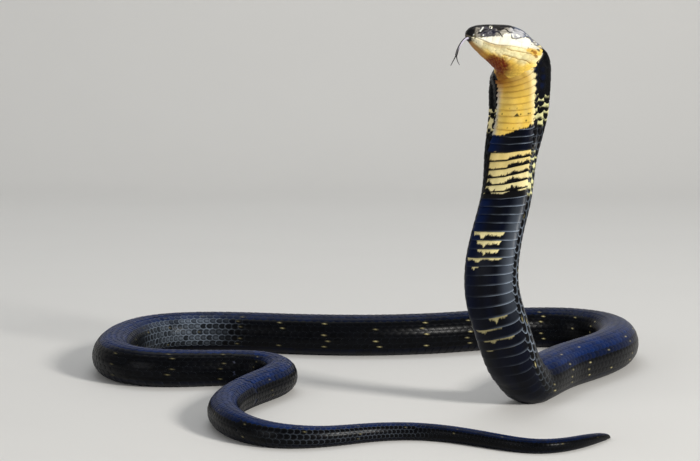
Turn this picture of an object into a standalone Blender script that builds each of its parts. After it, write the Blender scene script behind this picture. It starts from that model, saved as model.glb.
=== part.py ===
"""A life-size king cobra at rest: the front third of it reared up with the hood spread, the rest of
the body lying in loose loops on the floor, and the forked tongue out.

Metres, +Z up. The animal is one long tube of flesh along a course, the middle line from the snout
to the tip of the tail. Distances along it, "stations", are in centimetres from the snout, and so
are all sizes in the tables below; CM turns them to metres.
"""

import math

import bmesh
import bpy
import numpy as np

CM = 0.01
GAP = 0.03  # cm, kept between pieces that meet

# The middle line of the reared front, from the snout down to the floor: x, y, z in cm.
REARED_LINE = [
    (-7.95, -3.72, 45.99), (-6.60, -3.23, 45.86), (-5.18, -2.72, 45.63), (-3.82, -2.24, 45.39),
    (-2.70, -1.83, 44.98), (-1.84, -1.50, 44.33), (-1.42, -1.30, 43.45), (-1.26, -1.20, 42.45),
    (-1.18, -1.18, 41.45), (-1.20, -1.18, 40.30), (-1.29, -1.20, 38.60), (-1.37, -1.25, 36.80),
    (-1.74, -1.6, 34.5), (-2.3, -2.2, 31.7), (-2.6, -3.0, 29.0),
    (-3.0, -3.9, 26.3), (-3.7, -4.7, 23.6), (-4.4, -5.3, 20.7), (-4.8, -5.5, 17.6),
    (-4.6, -5.2, 14.5), (-3.7, -4.4, 11.2), (-2.6, -3.2, 7.9), (-1.3, -1.4, 4.9),
    (0.3, 1.1, 3.1),
]  # fmt: skip

# The middle line of the part that lies on the floor, from where it comes down to the tip of the
# tail: x, y in cm. Its height is the body's own.
LYING_LINE = [
    (2.6, 5.2), (5.3, 10.8), (8.6, 15.9), (11.8, 20.8), (14.3, 26.2), (15.4, 32.0), (14.6, 37.9),
    (11.2, 41.8), (6.0, 42.9), (-0.5, 41.4), (-8.0, 38.3), (-17.0, 36.2), (-26.0, 36.4),
    (-35.0, 38.4), (-43.5, 39.6), (-49.3, 37.8), (-52.9, 32.3), (-54.0, 25.0), (-53.0, 18.0),
    (-49.4, 13.6), (-44.0, 12.6), (-38.0, 13.6), (-33.6, 13.5), (-31.2, 10.6), (-31.5, 5.9),
    (-33.7, 1.0), (-36.0, -5.0), (-36.9, -10.8), (-36.0, -16.2), (-33.6, -20.8), (-29.8, -23.6),
    (-24.6, -23.1), (-19.7, -20.7), (-14.8, -19.7), (-9.8, -21.3), (-5.4, -24.4), (-0.6, -26.6),
    (3.2, -24.7), (6.0, -21.6), (8.2, -18.9),
]  # fmt: skip

# The reared line turns down sharply behind the skull, but the outlines across it turn slowly, as
# the flesh does: degrees below level that they look, at stations of the head and nape.
NAPE_TURN = [(0.0, 1.0), (1.5, 5.0), (3.0, 14.0), (4.5, 25.0), (5.8, 36.0), (7.0, 45.0), (8.0, 53.0),
             (9.0, 61.0), (10.0, 70.0), (11.2, 79.0), (13.0, 87.0)]  # fmt: skip
NAPE_HEADS, NAPE_ENDS = 20.0, (11.0, 14.0)  # the skull's bearing in degrees; where the nape ends

# Which way the back faces, at stations along the course. The head is rolled a little, the hood's
# front faces forward and to the animal's right, and on the floor the back is up.
BACK_FACES = [
    (0.0, (-0.07, 0.19, 0.98)), (6.0, (0.10, 0.25, 0.96)), (8.0, (0.26, 0.48, 0.83)),
    (10.0, (0.38, 0.78, 0.50)), (12.0, (0.42, 0.89, 0.18)), (20.0, (0.42, 0.90, 0.10)),
    (42.0, (0.40, 0.92, 0.25)), (52.0, (0.20, 0.50, 0.80)), (58.0, (0.00, 0.00, 1.00)),
    (300.0, (0.00, 0.00, 1.00)),
]  # fmt: skip

# Half width, height of the back above the middle line, depth of the belly below it, all in cm,
# and how square the outline is (2 is an ellipse).
HEAD_SIZES = [
    (0.00, 0.00, 0.00, 0.00, 2.0), (0.12, 0.55, 0.46, 0.42, 2.2), (0.40, 0.94, 0.80, 0.78, 2.3),
    (0.80, 1.20, 1.04, 1.20, 2.4), (1.50, 1.48, 1.25, 1.80, 2.4), (2.30, 1.70, 1.42, 2.25, 2.4),
    (3.00, 1.88, 1.55, 2.58, 2.4), (4.00, 2.12, 1.74, 3.00, 2.4), (5.00, 2.38, 1.93, 3.38, 2.3),
    (6.00, 2.52, 1.96, 3.65, 2.3), (7.00, 2.74, 1.84, 3.72, 2.3), (8.00, 3.68, 1.86, 3.55, 2.2),
]  # fmt: skip
HOOD_SIZES = [
    (8.50, 4.06, 1.85, 3.36, 2.1), (9.00, 4.24, 1.84, 3.10, 2.1), (10.0, 4.20, 1.74, 2.45, 2.1),
    (11.0, 4.06, 1.60, 1.85, 2.1), (12.5, 3.96, 1.42, 1.40, 2.1), (14.5, 3.84, 1.34, 1.20, 2.1),
    (17.0, 3.62, 1.42, 1.20, 2.1), (20.0, 3.40, 1.60, 1.36, 2.2), (24.0, 3.22, 1.72, 1.48, 2.2),
]  # fmt: skip
BODY_SIZES = [
    (28.0, 3.15, 1.82, 1.58, 2.2), (34.0, 3.35, 2.00, 1.80, 2.2), (40.0, 3.52, 2.20, 2.00, 2.2),
    (46.0, 3.50, 2.45, 2.30, 2.2), (52.0, 3.28, 2.72, 2.62, 2.1), (60.0, 3.10, 2.95, 2.80, 2.1),
    (80.0, 3.10, 3.05, 2.80, 2.1), (130.0, 3.10, 3.05, 2.80, 2.1), (160.0, 3.00, 2.95, 2.70, 2.1),
    (185.0, 2.75, 2.70, 2.45, 2.1), (205.0, 2.40, 2.35, 2.15, 2.1), (220.0, 2.15, 2.10, 1.95, 2.1),
]  # fmt: skip
TAIL_SIZES = [
    (235.0, 1.85, 1.80, 1.70, 2.1), (245.0, 1.55, 1.50, 1.40, 2.1), (252.0, 1.28, 1.22, 1.15, 2.1),
    (262.0, 1.10, 1.05, 1.00, 2.1), (275.0, 0.94, 0.89, 0.84, 2.1), (283.0, 0.80, 0.76, 0.72, 2.1),
    (286.5, 0.64, 0.60, 0.56, 2.1), (288.8, 0.38, 0.35, 0.33, 2.1),
]  # fmt: skip

LIES_FROM, RISES_FROM = 57.0, 49.0  # stations: flat on the floor beyond, free of it before
SUNK = 0.93  # share of the belly's depth that stands above the floor, the rest being pressed flat

# The wide belly scutes that show on the reared front.
SCUTES_FROM, SCUTES_TO = 10.3, 53.0
# station, length of a belly scute
SCUTE_LENGTHS = [
    (9.0, 0.87), (16.5, 0.89), (18.3, 0.92), (19.5, 1.05), (23.3, 0.99), (24.5, 0.92), (26.0, 0.97),
    (29.5, 1.01), (33.0, 0.92), (34.9, 1.08), (36.0, 1.19), (39.6, 1.31), (41.0, 1.37), (42.3, 1.32),
    (43.7, 1.21), (46.0, 1.18), (54.0, 1.04),
]
SCUTE_LIFT = 0.085
SCUTE_EDGE = 0.035
# Station, half the share of the outline that a scute takes, and the turn where its middle is.
SCUTE_SPANS = [
    (8.0, 0.125, 0.485), (10.4, 0.102, 0.478), (11.5, 0.094, 0.484), (13.3, 0.097, 0.489),
    (14.3, 0.104, 0.494), (15.4, 0.122, 0.495), (16.8, 0.140, 0.493), (18.5, 0.156, 0.490),
    (20.5, 0.178, 0.495), (24.0, 0.182, 0.500), (40.0, 0.185, 0.500), (56.0, 0.170, 0.500),
]  # fmt: skip

RING_SIDES, BELLY_SIDES = 24, 8
LYING_RING_SIDES = 18

HEAD_ENDS, JAW_CORNER = 9.3, 7.2
MOUTH_LINE = [(-0.8, -0.30), (0.2, -0.32), (0.6, -0.44), (1.4, -0.76), (2.7, -1.12),
              (3.7, -1.24), (4.6, -1.20), (5.4, -1.10), (6.5, -0.85), (JAW_CORNER, -0.65)]  # fmt: skip
THROAT_BULGE = [(7.0, 0.0), (9.0, 0.3), (11.0, 0.75), (13.0, 0.85), (16.0, 0.55), (20.0, 0.15),
                (23.0, 0.0)]  # fmt: skip
BROW = {"station": 2.4, "length": 0.95, "turn": 0.115, "width": 0.04, "height": 0.12}
CHEEK = {"station": 6.3, "length": 1.5, "turn": 0.26, "width": 0.09, "height": 0.14}
EYE = {"station": 2.5, "across": 1.33, "up": 0.78, "radius": 0.34}
NOSTRIL = {"station": 1.05, "across": 1.22, "up": 0.40, "radius": 0.13}

# The tongue's middle line from inside the lips to the fork, and its two tips: x, y, z in cm.
TONGUE_STEM = [(-6.75, -3.38, 45.42), (-7.35, -3.62, 45.52), (-8.0, -4.0, 45.42), (-8.55, -4.45, 44.95),
               (-8.93, -4.8, 44.3), (-9.2, -5.1, 43.5)]  # fmt: skip
NOTCH_LINE = [(-6.65, -3.34, 45.40)] + TONGUE_STEM[1:3]  # its way out between the lips
TONGUE_TINES = [
    [(-9.1, -5.0, 43.8), (-9.32, -5.2, 43.3), (-9.6, -5.35, 42.8), (-9.86, -5.5, 42.3)],
    [(-9.1, -5.0, 43.8), (-9.12, -4.98, 43.3), (-8.98, -4.8, 42.8), (-8.76, -4.6, 42.38)],
]
TONGUE_WIDE, TONGUE_THICK, TINE_WIDE = 0.17, 0.085, 0.095  # half sizes
TONGUE_TWIST = (20.0, 68.0)  # degrees that it turns on itself, between the lips and at the fork

# Nodes along the body and the station where each ends. The one before it ends where it starts.
LENGTHS = [
    ("hood", 22.0), ("neck", 38.0), ("forebody", 54.5), ("trunk_1", 76.0), ("trunk_2", 90.0),
    ("trunk_3", 104.0), ("trunk_4", 126.0), ("trunk_5", 148.0), ("trunk_6", 164.0),
    ("trunk_7", 178.0), ("trunk_8", 192.0), ("trunk_9", 208.0), ("trunk_10", 222.0),
    ("tail_1", 236.0), ("tail_2", 250.0), ("tail_3", 271.0), ("tail_4", None),
]  # fmt: skip
LYING_STEP = 1.6  # cm between rings on the floor

# Colour, roughness and metallic value of each material.
FINISHES = {
    "black_scales": ((0.012, 0.015, 0.030), 0.32, 0.0),
    "hood_scales": ((0.420, 0.300, 0.090), 0.40, 0.0),
    "head_plates": ((0.130, 0.125, 0.110), 0.38, 0.0),
    "throat_skin": ((0.620, 0.500, 0.230), 0.45, 0.0),
    "eye": ((0.090, 0.080, 0.050), 0.08, 0.0),
    "tongue": ((0.110, 0.080, 0.110), 0.35, 0.0),
}


def table_column(rows, column):
    """One column of a table of stations, as (stations, values)."""
    return np.array([r[0] for r in rows]), np.array([r[column] for r in rows], float)


def ease_between(x, stations, values):
    """A smooth line through the table that never overshoots it: cubic pieces whose slope at each
    entry is the harmonic mean of its neighbours' slopes, or none where they turn."""
    rise = np.diff(values) / np.diff(stations)
    slope = np.zeros_like(values)
    same = rise[:-1] * rise[1:] > 0
    slope[1:-1][same] = 2 * rise[:-1][same] * rise[1:][same] / (rise[:-1] + rise[1:])[same]
    slope[0], slope[-1] = rise[0], rise[-1]
    i = np.clip(np.searchsorted(stations, x) - 1, 0, len(stations) - 2)
    span = stations[i + 1] - stations[i]
    t = np.clip((x - stations[i]) / span, 0, 1)
    start = (2 * t**3 - 3 * t**2 + 1) * values[i] + (t**3 - 2 * t**2 + t) * span * slope[i]
    end = (3 * t**2 - 2 * t**3) * values[i + 1] + (t**3 - t**2) * span * slope[i + 1]
    return start + end


def smooth_step(x, low, high):
    t = np.clip((x - low) / (high - low), 0, 1)
    return t * t * (3 - 2 * t)


def natural_spline(points, per_span=24):
    """A curve of continuous bend through points, the spans measured by the straight distance
    between them. Returns many points along it."""
    points = np.array(points, float)
    knots = np.concatenate([[0], np.cumsum(np.linalg.norm(np.diff(points, axis=0), axis=1))])
    span = np.diff(knots)
    count = len(points)
    matrix, right = np.eye(count), np.zeros_like(points)
    for i in range(1, count - 1):
        matrix[i, i - 1 : i + 2] = span[i - 1], 2 * (span[i - 1] + span[i]), span[i]
        right[i] = 6 * (
            (points[i + 1] - points[i]) / span[i] - (points[i] - points[i - 1]) / span[i - 1]
        )
    bend = np.linalg.solve(matrix, right)
    x = np.linspace(0, knots[-1], per_span * (count - 1) + 1)
    i = np.clip(np.searchsorted(knots, x) - 1, 0, count - 2)
    a, b, h = (knots[i + 1] - x)[:, None], (x - knots[i])[:, None], span[i][:, None]
    return (
        (bend[i] * a**3 + bend[i + 1] * b**3) / (6 * h)
        + (points[i] / h - bend[i] * h / 6) * a
        + (points[i + 1] / h - bend[i + 1] * h / 6) * b
    )


def unit(vectors):
    return vectors / np.linalg.norm(vectors, axis=-1, keepdims=True)


class Course:
    """The middle line of the whole animal, with the way its back and its left side face."""

    def __init__(self):
        on_floor = [(x, y, 0.0) for x, y in LYING_LINE]
        line = natural_spline(REARED_LINE + on_floor)
        for _ in range(2):  # the height on the floor depends on the stations, and they on it
            self.at = np.concatenate(
                [[0], np.cumsum(np.linalg.norm(np.diff(line, axis=0), axis=1))]
            )
            self.length = self.at[-1]
            lies = smooth_step(self.at, RISES_FROM, LIES_FROM)
            resting = SUNK * self.sizes(self.at)[2]
            line[:, 2] = (1 - lies) * np.maximum(line[:, 2], 0) + lies * resting
        self.line = line

    def sizes(self, station):
        """Half width, back, belly and squareness, with the tail's tip closing at the end."""
        rows = HEAD_SIZES + HOOD_SIZES + BODY_SIZES + TAIL_SIZES
        rows = rows + [(max(self.length, TAIL_SIZES[-1][0] + 0.5), 0.0, 0.0, 0.0, 2.0)]
        return [ease_between(station, *table_column(rows, k)) for k in (1, 2, 3, 4)]

    def point(self, station):
        return np.stack([np.interp(station, self.at, self.line[:, k]) for k in range(3)], -1)

    def frame(self, station):
        """(point, towards the tail, back, left) at each station; past the snout it runs straight on."""
        station = np.asarray(station, float)
        inside = np.clip(station, 0.0, self.length)
        reach = 0.35
        ahead = self.point(np.clip(inside + reach, 0, self.length))
        behind = self.point(np.clip(inside - reach, 0, self.length))
        along = unit(ahead - behind)
        fall = np.radians(ease_between(inside, *table_column(NAPE_TURN, 1)))
        bearing = math.radians(NAPE_HEADS)
        level = np.cos(fall)
        turned = np.stack(
            [level * math.cos(bearing), level * math.sin(bearing), -np.sin(fall)], -1
        )
        share = smooth_step(inside, *NAPE_ENDS)[..., None]
        along = unit((1 - share) * turned + share * along)
        at = np.array([row[0] for row in BACK_FACES])
        hints = np.array([row[1] for row in BACK_FACES])
        hint = np.stack([ease_between(inside, at, hints[:, k]) for k in range(3)], -1)
        back = unit(hint - (hint * along).sum(-1, keepdims=True) * along)
        left = np.cross(along, back)
        centre = self.point(inside) + (station - inside)[..., None] * along
        return centre, along, back, left

    def place(self, station, across, up):
        """Points in cm at a station, so far to the animal's left and so far towards its back."""
        centre, _, back, left = self.frame(station)
        return centre + np.asarray(across)[..., None] * left + np.asarray(up)[..., None] * back


COURSE = Course()


def bump(x, middle, width):
    return np.exp(-(((x - middle) / width) ** 2))


def around(station, turns):
    """(across, up) of points round the body's outline. A turn of 0 is the middle of the back, 0.25
    about the left side and 0.5 the middle of the belly, measured along the outline."""
    half_width, back, belly, square = (np.atleast_1d(v)[:, None] for v in COURSE.sizes(station))
    angle = np.linspace(0, 2 * math.pi, 241)[None, :]
    power = 2 / square
    across = half_width * np.sign(np.sin(angle)) * np.abs(np.sin(angle)) ** power
    rise = np.where(np.cos(angle) > 0, back, belly)
    up = rise * np.sign(np.cos(angle)) * np.abs(np.cos(angle)) ** power
    step = np.hypot(np.diff(across, axis=1), np.diff(up, axis=1))
    run = np.concatenate([np.zeros((len(step), 1)), np.cumsum(step, axis=1)], axis=1)
    found = np.zeros((2,) + turns.shape)
    for i, turn in enumerate(turns):
        share = run[i] / max(run[i, -1], 1e-9)
        found[0, i] = np.interp(turn % 1.0, share, across[i])
        found[1, i] = np.interp(turn % 1.0, share, up[i])
    return found


def raised(station, turns):
    """How far the brows, the cheeks and the belly scutes stand out of the plain outline, in cm."""
    at = station[:, None]
    side = np.minimum(turns % 1.0, 1 - turns % 1.0)
    lift = np.zeros(turns.shape)
    for form in (BROW, CHEEK):
        near = bump(side, form["turn"], form["width"])
        lift += form["height"] * bump(at, form["station"], form["length"]) * near
    middle = smooth_step(side, 0.315, 0.42)
    lift += ease_between(station, *table_column(THROAT_BULGE, 1))[:, None] * middle
    return lift + SCUTE_LIFT * scute_rise(station)[:, None] * on_belly(station, turns % 1.0)


def belly_span(station):
    """Half the share of the outline that the belly scutes take, and their middle's turn."""
    at = [row[0] for row in SCUTE_SPANS]
    return [np.interp(station, at, [row[k] for row in SCUTE_SPANS])[:, None] for k in (1, 2)]


def on_belly(station, turns):
    half, middle = belly_span(station)
    return 1 - smooth_step(np.abs(turns - middle), half - 0.02, half)


def scute_stations():
    """The stations where one belly scute ends and the next begins."""
    found = [SCUTES_FROM]
    while found[-1] < SCUTES_TO:
        found.append(found[-1] + float(np.interp(found[-1], *zip(*SCUTE_LENGTHS))))
    return np.array(found)


def scute_rise(station):
    """From 0 at a scute's front edge to 1 at its free rear edge."""
    edges = scute_stations()
    i = np.searchsorted(edges, station) - 1
    inside = (i >= 0) & (i < len(edges) - 1)
    i = np.clip(i, 0, len(edges) - 2)
    return np.where(inside, (station - edges[i]) / (edges[i + 1] - edges[i]), 0.0)


def ring_turns(station, sides):
    """Where a ring's corners stand, with BELLY_SIDES of them sharing out the belly scute."""
    half, middle = belly_span(station)
    belly = np.linspace(-1, 1, BELLY_SIDES + 1)[None, :]
    rest = np.linspace(0, 1, sides - BELLY_SIDES + 1)[None, 1:-1]
    return middle + np.concatenate([half * belly, half + rest * (1 - 2 * half)], axis=1)


def surface(station, sides):
    """Corners in metres of the rings at these stations, pressed flat where they meet the floor."""
    station = np.asarray(station, float)
    turns = ring_turns(station, sides)
    across, up = around(station, turns)
    out = np.maximum(np.hypot(across, up), 1e-6)
    grow = 1 + raised(station, turns) / out
    centre, _, back, left = COURSE.frame(station)
    points = (
        centre[:, None]
        + (across * grow)[..., None] * left[:, None]
        + (up * grow)[..., None] * back[:, None]
    )
    points[..., 2] = np.maximum(points[..., 2], 0)
    return points * CM


def finish(name):
    if name in bpy.data.materials:
        return bpy.data.materials[name]
    colour, roughness, metallic = FINISHES[name]
    made = bpy.data.materials.new(name)
    made.use_nodes = True
    shader = made.node_tree.nodes["Principled BSDF"]
    shader.inputs["Base Color"].default_value = (*colour, 1.0)
    shader.inputs["Roughness"].default_value = roughness
    shader.inputs["Metallic"].default_value = metallic
    return made


def make_object(name, vertices, faces, material=None):
    """A closed mesh object whose faces point out."""
    mesh = bpy.data.meshes.new(name)
    mesh.from_pydata([tuple(v) for v in vertices], [], faces)
    shape = bmesh.new()
    shape.from_mesh(mesh)
    bmesh.ops.recalc_face_normals(shape, faces=shape.faces)
    shape.to_mesh(mesh)
    shape.free()
    made = bpy.data.objects.new(name, mesh)
    bpy.context.scene.collection.objects.link(made)
    if material:
        mesh.materials.append(finish(material))
        mesh.shade_smooth()
        mesh.set_sharp_from_angle(angle=math.radians(40))
    return made


def skinned_rings(name, rings, material=None, start_point=None, end_point=None):
    """Rings joined one to the next, each end closed by a fan to a point: the one given, or the
    middle of the ring there."""
    count, sides = rings.shape[:2]
    start = rings[0].mean(0) if start_point is None else start_point
    end = rings[-1].mean(0) if end_point is None else end_point
    vertices = np.concatenate([rings.reshape(-1, 3), [start, end]])
    first, last = count * sides, count * sides + 1
    faces = []
    for j in range(sides):
        k = (j + 1) % sides
        faces.append((first, k, j))
        faces.append((last, (count - 1) * sides + j, (count - 1) * sides + k))
        for i in range(count - 1):
            faces.append((i * sides + j, i * sides + k, (i + 1) * sides + k, (i + 1) * sides + j))
    return make_object(name, vertices, faces, material)


def ring_stations(start, end):
    """Stations for a length of body: two rings at each scute edge, and even steps elsewhere."""
    edges = scute_stations()
    edges = edges[(edges > start + 0.3) & (edges < end - 0.3)]
    found = list(edges - SCUTE_EDGE) + list(edges + SCUTE_EDGE)
    plain_from = max(start, SCUTES_TO) if len(edges) else start
    if plain_from < end:
        steps = max(2, round((end - plain_from) / LYING_STEP))
        found += list(np.linspace(plain_from, end, steps + 1)[1:-1])
    kept = [start, end] + [s for s in found if start + 0.2 < s < end - 0.2]
    return np.array(sorted(kept))


def make_lengths():
    """The body behind the head, one node for each length."""
    start = HEAD_ENDS
    for name, end in LENGTHS:
        tip = end is None
        last = COURSE.length - 0.25 if tip else end - GAP / 2
        stations = ring_stations(start + GAP / 2, last)
        if tip:
            stations = np.sort(np.append(stations, COURSE.length - np.array([0.7, 1.2, 2.0])))
        sides = RING_SIDES if start < SCUTES_TO else LYING_RING_SIDES
        rings = surface(stations, sides)
        tip_point = rings[-1].mean(0) + (rings[-1].mean(0) - rings[-2].mean(0)) * 0.5
        material = "hood_scales" if name == "hood" else "black_scales"
        skinned_rings(name, rings, material, end_point=tip_point if tip else None)
        start = end


def cut(target, cutter, operation="DIFFERENCE"):
    cutter.hide_render = True
    cutter.display_type = "WIRE"
    modifier = target.modifiers.new(cutter.name, "BOOLEAN")
    modifier.operation = operation
    modifier.object = cutter
    modifier.solver = "EXACT"


def jaw_block(name, slack):
    """The space of the lower jaw, from the mouth line down, grown by slack cm on every side."""
    stations = np.linspace(-0.8, JAW_CORNER + slack, 40)
    lips = ease_between(stations, *table_column(MOUTH_LINE, 1)) + slack
    half_width, _, belly, _ = COURSE.sizes(np.maximum(stations, 1.5))
    floor, reach = -belly - 0.2 - slack, half_width + 0.4 + slack
    corners = [(reach, lips), (-reach, lips), (-reach, floor), (reach, floor)]
    rings = np.stack([COURSE.place(stations, a, u) for a, u in corners], axis=1) * CM
    return skinned_rings(name, rings)


def ball(name, centre, radius, squash=(1, 1, 1), material=None, segments=20, rings=12):
    mesh = bpy.data.meshes.new(name)
    shape = bmesh.new()
    bmesh.ops.create_uvsphere(shape, u_segments=segments, v_segments=rings, radius=radius)
    bmesh.ops.scale(shape, vec=squash, verts=shape.verts)
    shape.to_mesh(mesh)
    shape.free()
    made = bpy.data.objects.new(name, mesh)
    made.location = centre
    bpy.context.scene.collection.objects.link(made)
    if material:
        mesh.materials.append(finish(material))
        mesh.shade_smooth()
    return made


def on_head(place, side):
    """A point in metres at a place on the head, on the left (1) or the right (-1)."""
    return COURSE.place(place["station"], side * place["across"], place["up"]) * CM


def flat_tube(name, line, half_wide, half_thick, twist, sides=10, material=None):
    """A tube with a flattened outline along a line in cm. Untwisted it is wide from side to side of
    the head; the twist is in degrees at its start, kept for nearly half of it, and at its end."""
    points = natural_spline(line, per_span=3)
    share = np.linspace(0, 1, len(points))
    along = unit(np.gradient(points, axis=0))
    _, _, _, left = COURSE.frame(np.array([1.0]))
    level = unit(left - (along * left).sum(-1, keepdims=True) * along)
    turned = np.radians(twist[0] + (twist[1] - twist[0]) * smooth_step(share, 0.45, 1.0))[:, None]
    wide = level * np.cos(turned) + np.cross(along, level) * np.sin(turned)
    thick = np.cross(along, wide)
    width = np.interp(share, [0, 1], half_wide)[:, None, None]
    depth = np.interp(share, [0, 1], half_thick)[:, None, None]
    angle = np.linspace(0, 2 * math.pi, sides, endpoint=False)[None, :, None]
    rings = (
        points[:, None]
        + width * np.cos(angle) * wide[:, None]
        + depth * np.sin(angle) * thick[:, None]
    )
    return skinned_rings(name, rings * CM, material)


def join(base, others):
    """One closed body from overlapping ones."""
    group = bpy.data.collections.new(base.name + "_pieces")
    for other in others:
        group.objects.link(other)
    modifier = base.modifiers.new("joined", "BOOLEAN")
    modifier.operation = "UNION"
    modifier.operand_type = "COLLECTION"
    modifier.collection = group
    modifier.solver = "EXACT"
    bpy.context.view_layer.update()
    graph = bpy.context.evaluated_depsgraph_get()
    joined = bpy.data.meshes.new_from_object(base.evaluated_get(graph))
    base.modifiers.clear()
    base.data = joined
    for other in others:
        bpy.data.objects.remove(other)
    bpy.data.collections.remove(group)


def make_tongue():
    """The stem and its two tines, as one body."""
    stem = flat_tube(
        "tongue", TONGUE_STEM, (TONGUE_WIDE, 0.14), (TONGUE_THICK, 0.07), TONGUE_TWIST, material="tongue"
    )
    at_fork = TONGUE_TWIST[1:] * 2
    tines = [
        flat_tube(f"tine_{i}", line, (TINE_WIDE, 0.035), (0.065, 0.03), at_fork, sides=8)
        for i, line in enumerate(TONGUE_TINES)
    ]
    join(stem, tines)


def make_head():
    """The head and the lower jaw, with the mouth line, eye sockets, nostrils and the notch that the
    tongue comes through cut into them, and the eyes in their sockets."""
    near_snout = [0.05, 0.15, 0.30, 0.50, 0.75, 1.05]
    stations = np.array(near_snout + list(np.arange(1.4, HEAD_ENDS - 0.2, 0.42)) + [HEAD_ENDS - GAP / 2])
    snout = COURSE.place(0.0, 0.0, 0.0) * CM
    rings = surface(stations, RING_SIDES + 8)
    head = skinned_rings("head", rings, "head_plates", start_point=snout)
    jaw = skinned_rings("lower_jaw", rings, "throat_skin", start_point=snout)
    cut(head, jaw_block("space_for_jaw", GAP))
    cut(jaw, jaw_block("jaw_block", 0.0), "INTERSECT")
    in_lips = TONGUE_TWIST[:1] * 2
    notch = flat_tube(
        "notch", NOTCH_LINE, (TONGUE_WIDE + 2 * GAP,) * 2, (TONGUE_THICK + 2 * GAP,) * 2, in_lips
    )
    cut(head, notch)
    cut(jaw, notch)
    for word, side in (("left", 1), ("right", -1)):
        centre = on_head(EYE, side)
        cut(head, ball("socket_" + word, centre, (EYE["radius"] + GAP) * CM))
        ball("eye_" + word, centre, EYE["radius"] * CM, material="eye")
        pit = ball("nostril_" + word, on_head(NOSTRIL, side), NOSTRIL["radius"] * CM, segments=10, rings=6)
        cut(head, pit)


def centre_on_floor():
    """Moves all of it so that the middle of its outline, seen from above, is the origin."""
    bpy.context.view_layer.update()
    corners = np.array(
        [
            obj.matrix_world @ vertex.co
            for obj in bpy.data.objects
            if not obj.hide_render
            for vertex in obj.data.vertices
        ]
    )
    middle = (corners.min(0) + corners.max(0)) / 2
    for obj in bpy.data.objects:
        obj.location.x -= middle[0]
        obj.location.y -= middle[1]


def main():
    for obj in list(bpy.data.objects):
        bpy.data.objects.remove(obj)
    make_head()
    make_tongue()
    make_lengths()
    centre_on_floor()


main()
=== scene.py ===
import math

import bpy
import numpy as np
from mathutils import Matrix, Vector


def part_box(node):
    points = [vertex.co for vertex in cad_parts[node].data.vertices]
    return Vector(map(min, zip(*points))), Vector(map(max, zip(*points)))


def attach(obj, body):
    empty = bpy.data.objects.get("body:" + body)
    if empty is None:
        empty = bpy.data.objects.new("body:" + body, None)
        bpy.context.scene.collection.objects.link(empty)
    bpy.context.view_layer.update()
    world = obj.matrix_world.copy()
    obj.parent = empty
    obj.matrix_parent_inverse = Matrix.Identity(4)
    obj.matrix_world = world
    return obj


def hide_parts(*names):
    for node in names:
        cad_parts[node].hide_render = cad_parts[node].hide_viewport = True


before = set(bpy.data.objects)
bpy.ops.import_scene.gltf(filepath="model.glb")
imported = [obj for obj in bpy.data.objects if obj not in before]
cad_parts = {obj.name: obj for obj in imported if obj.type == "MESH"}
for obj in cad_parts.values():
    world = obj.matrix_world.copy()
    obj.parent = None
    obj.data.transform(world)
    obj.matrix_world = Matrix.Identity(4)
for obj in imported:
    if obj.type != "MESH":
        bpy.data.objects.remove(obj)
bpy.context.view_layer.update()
cm = 0.01

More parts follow.
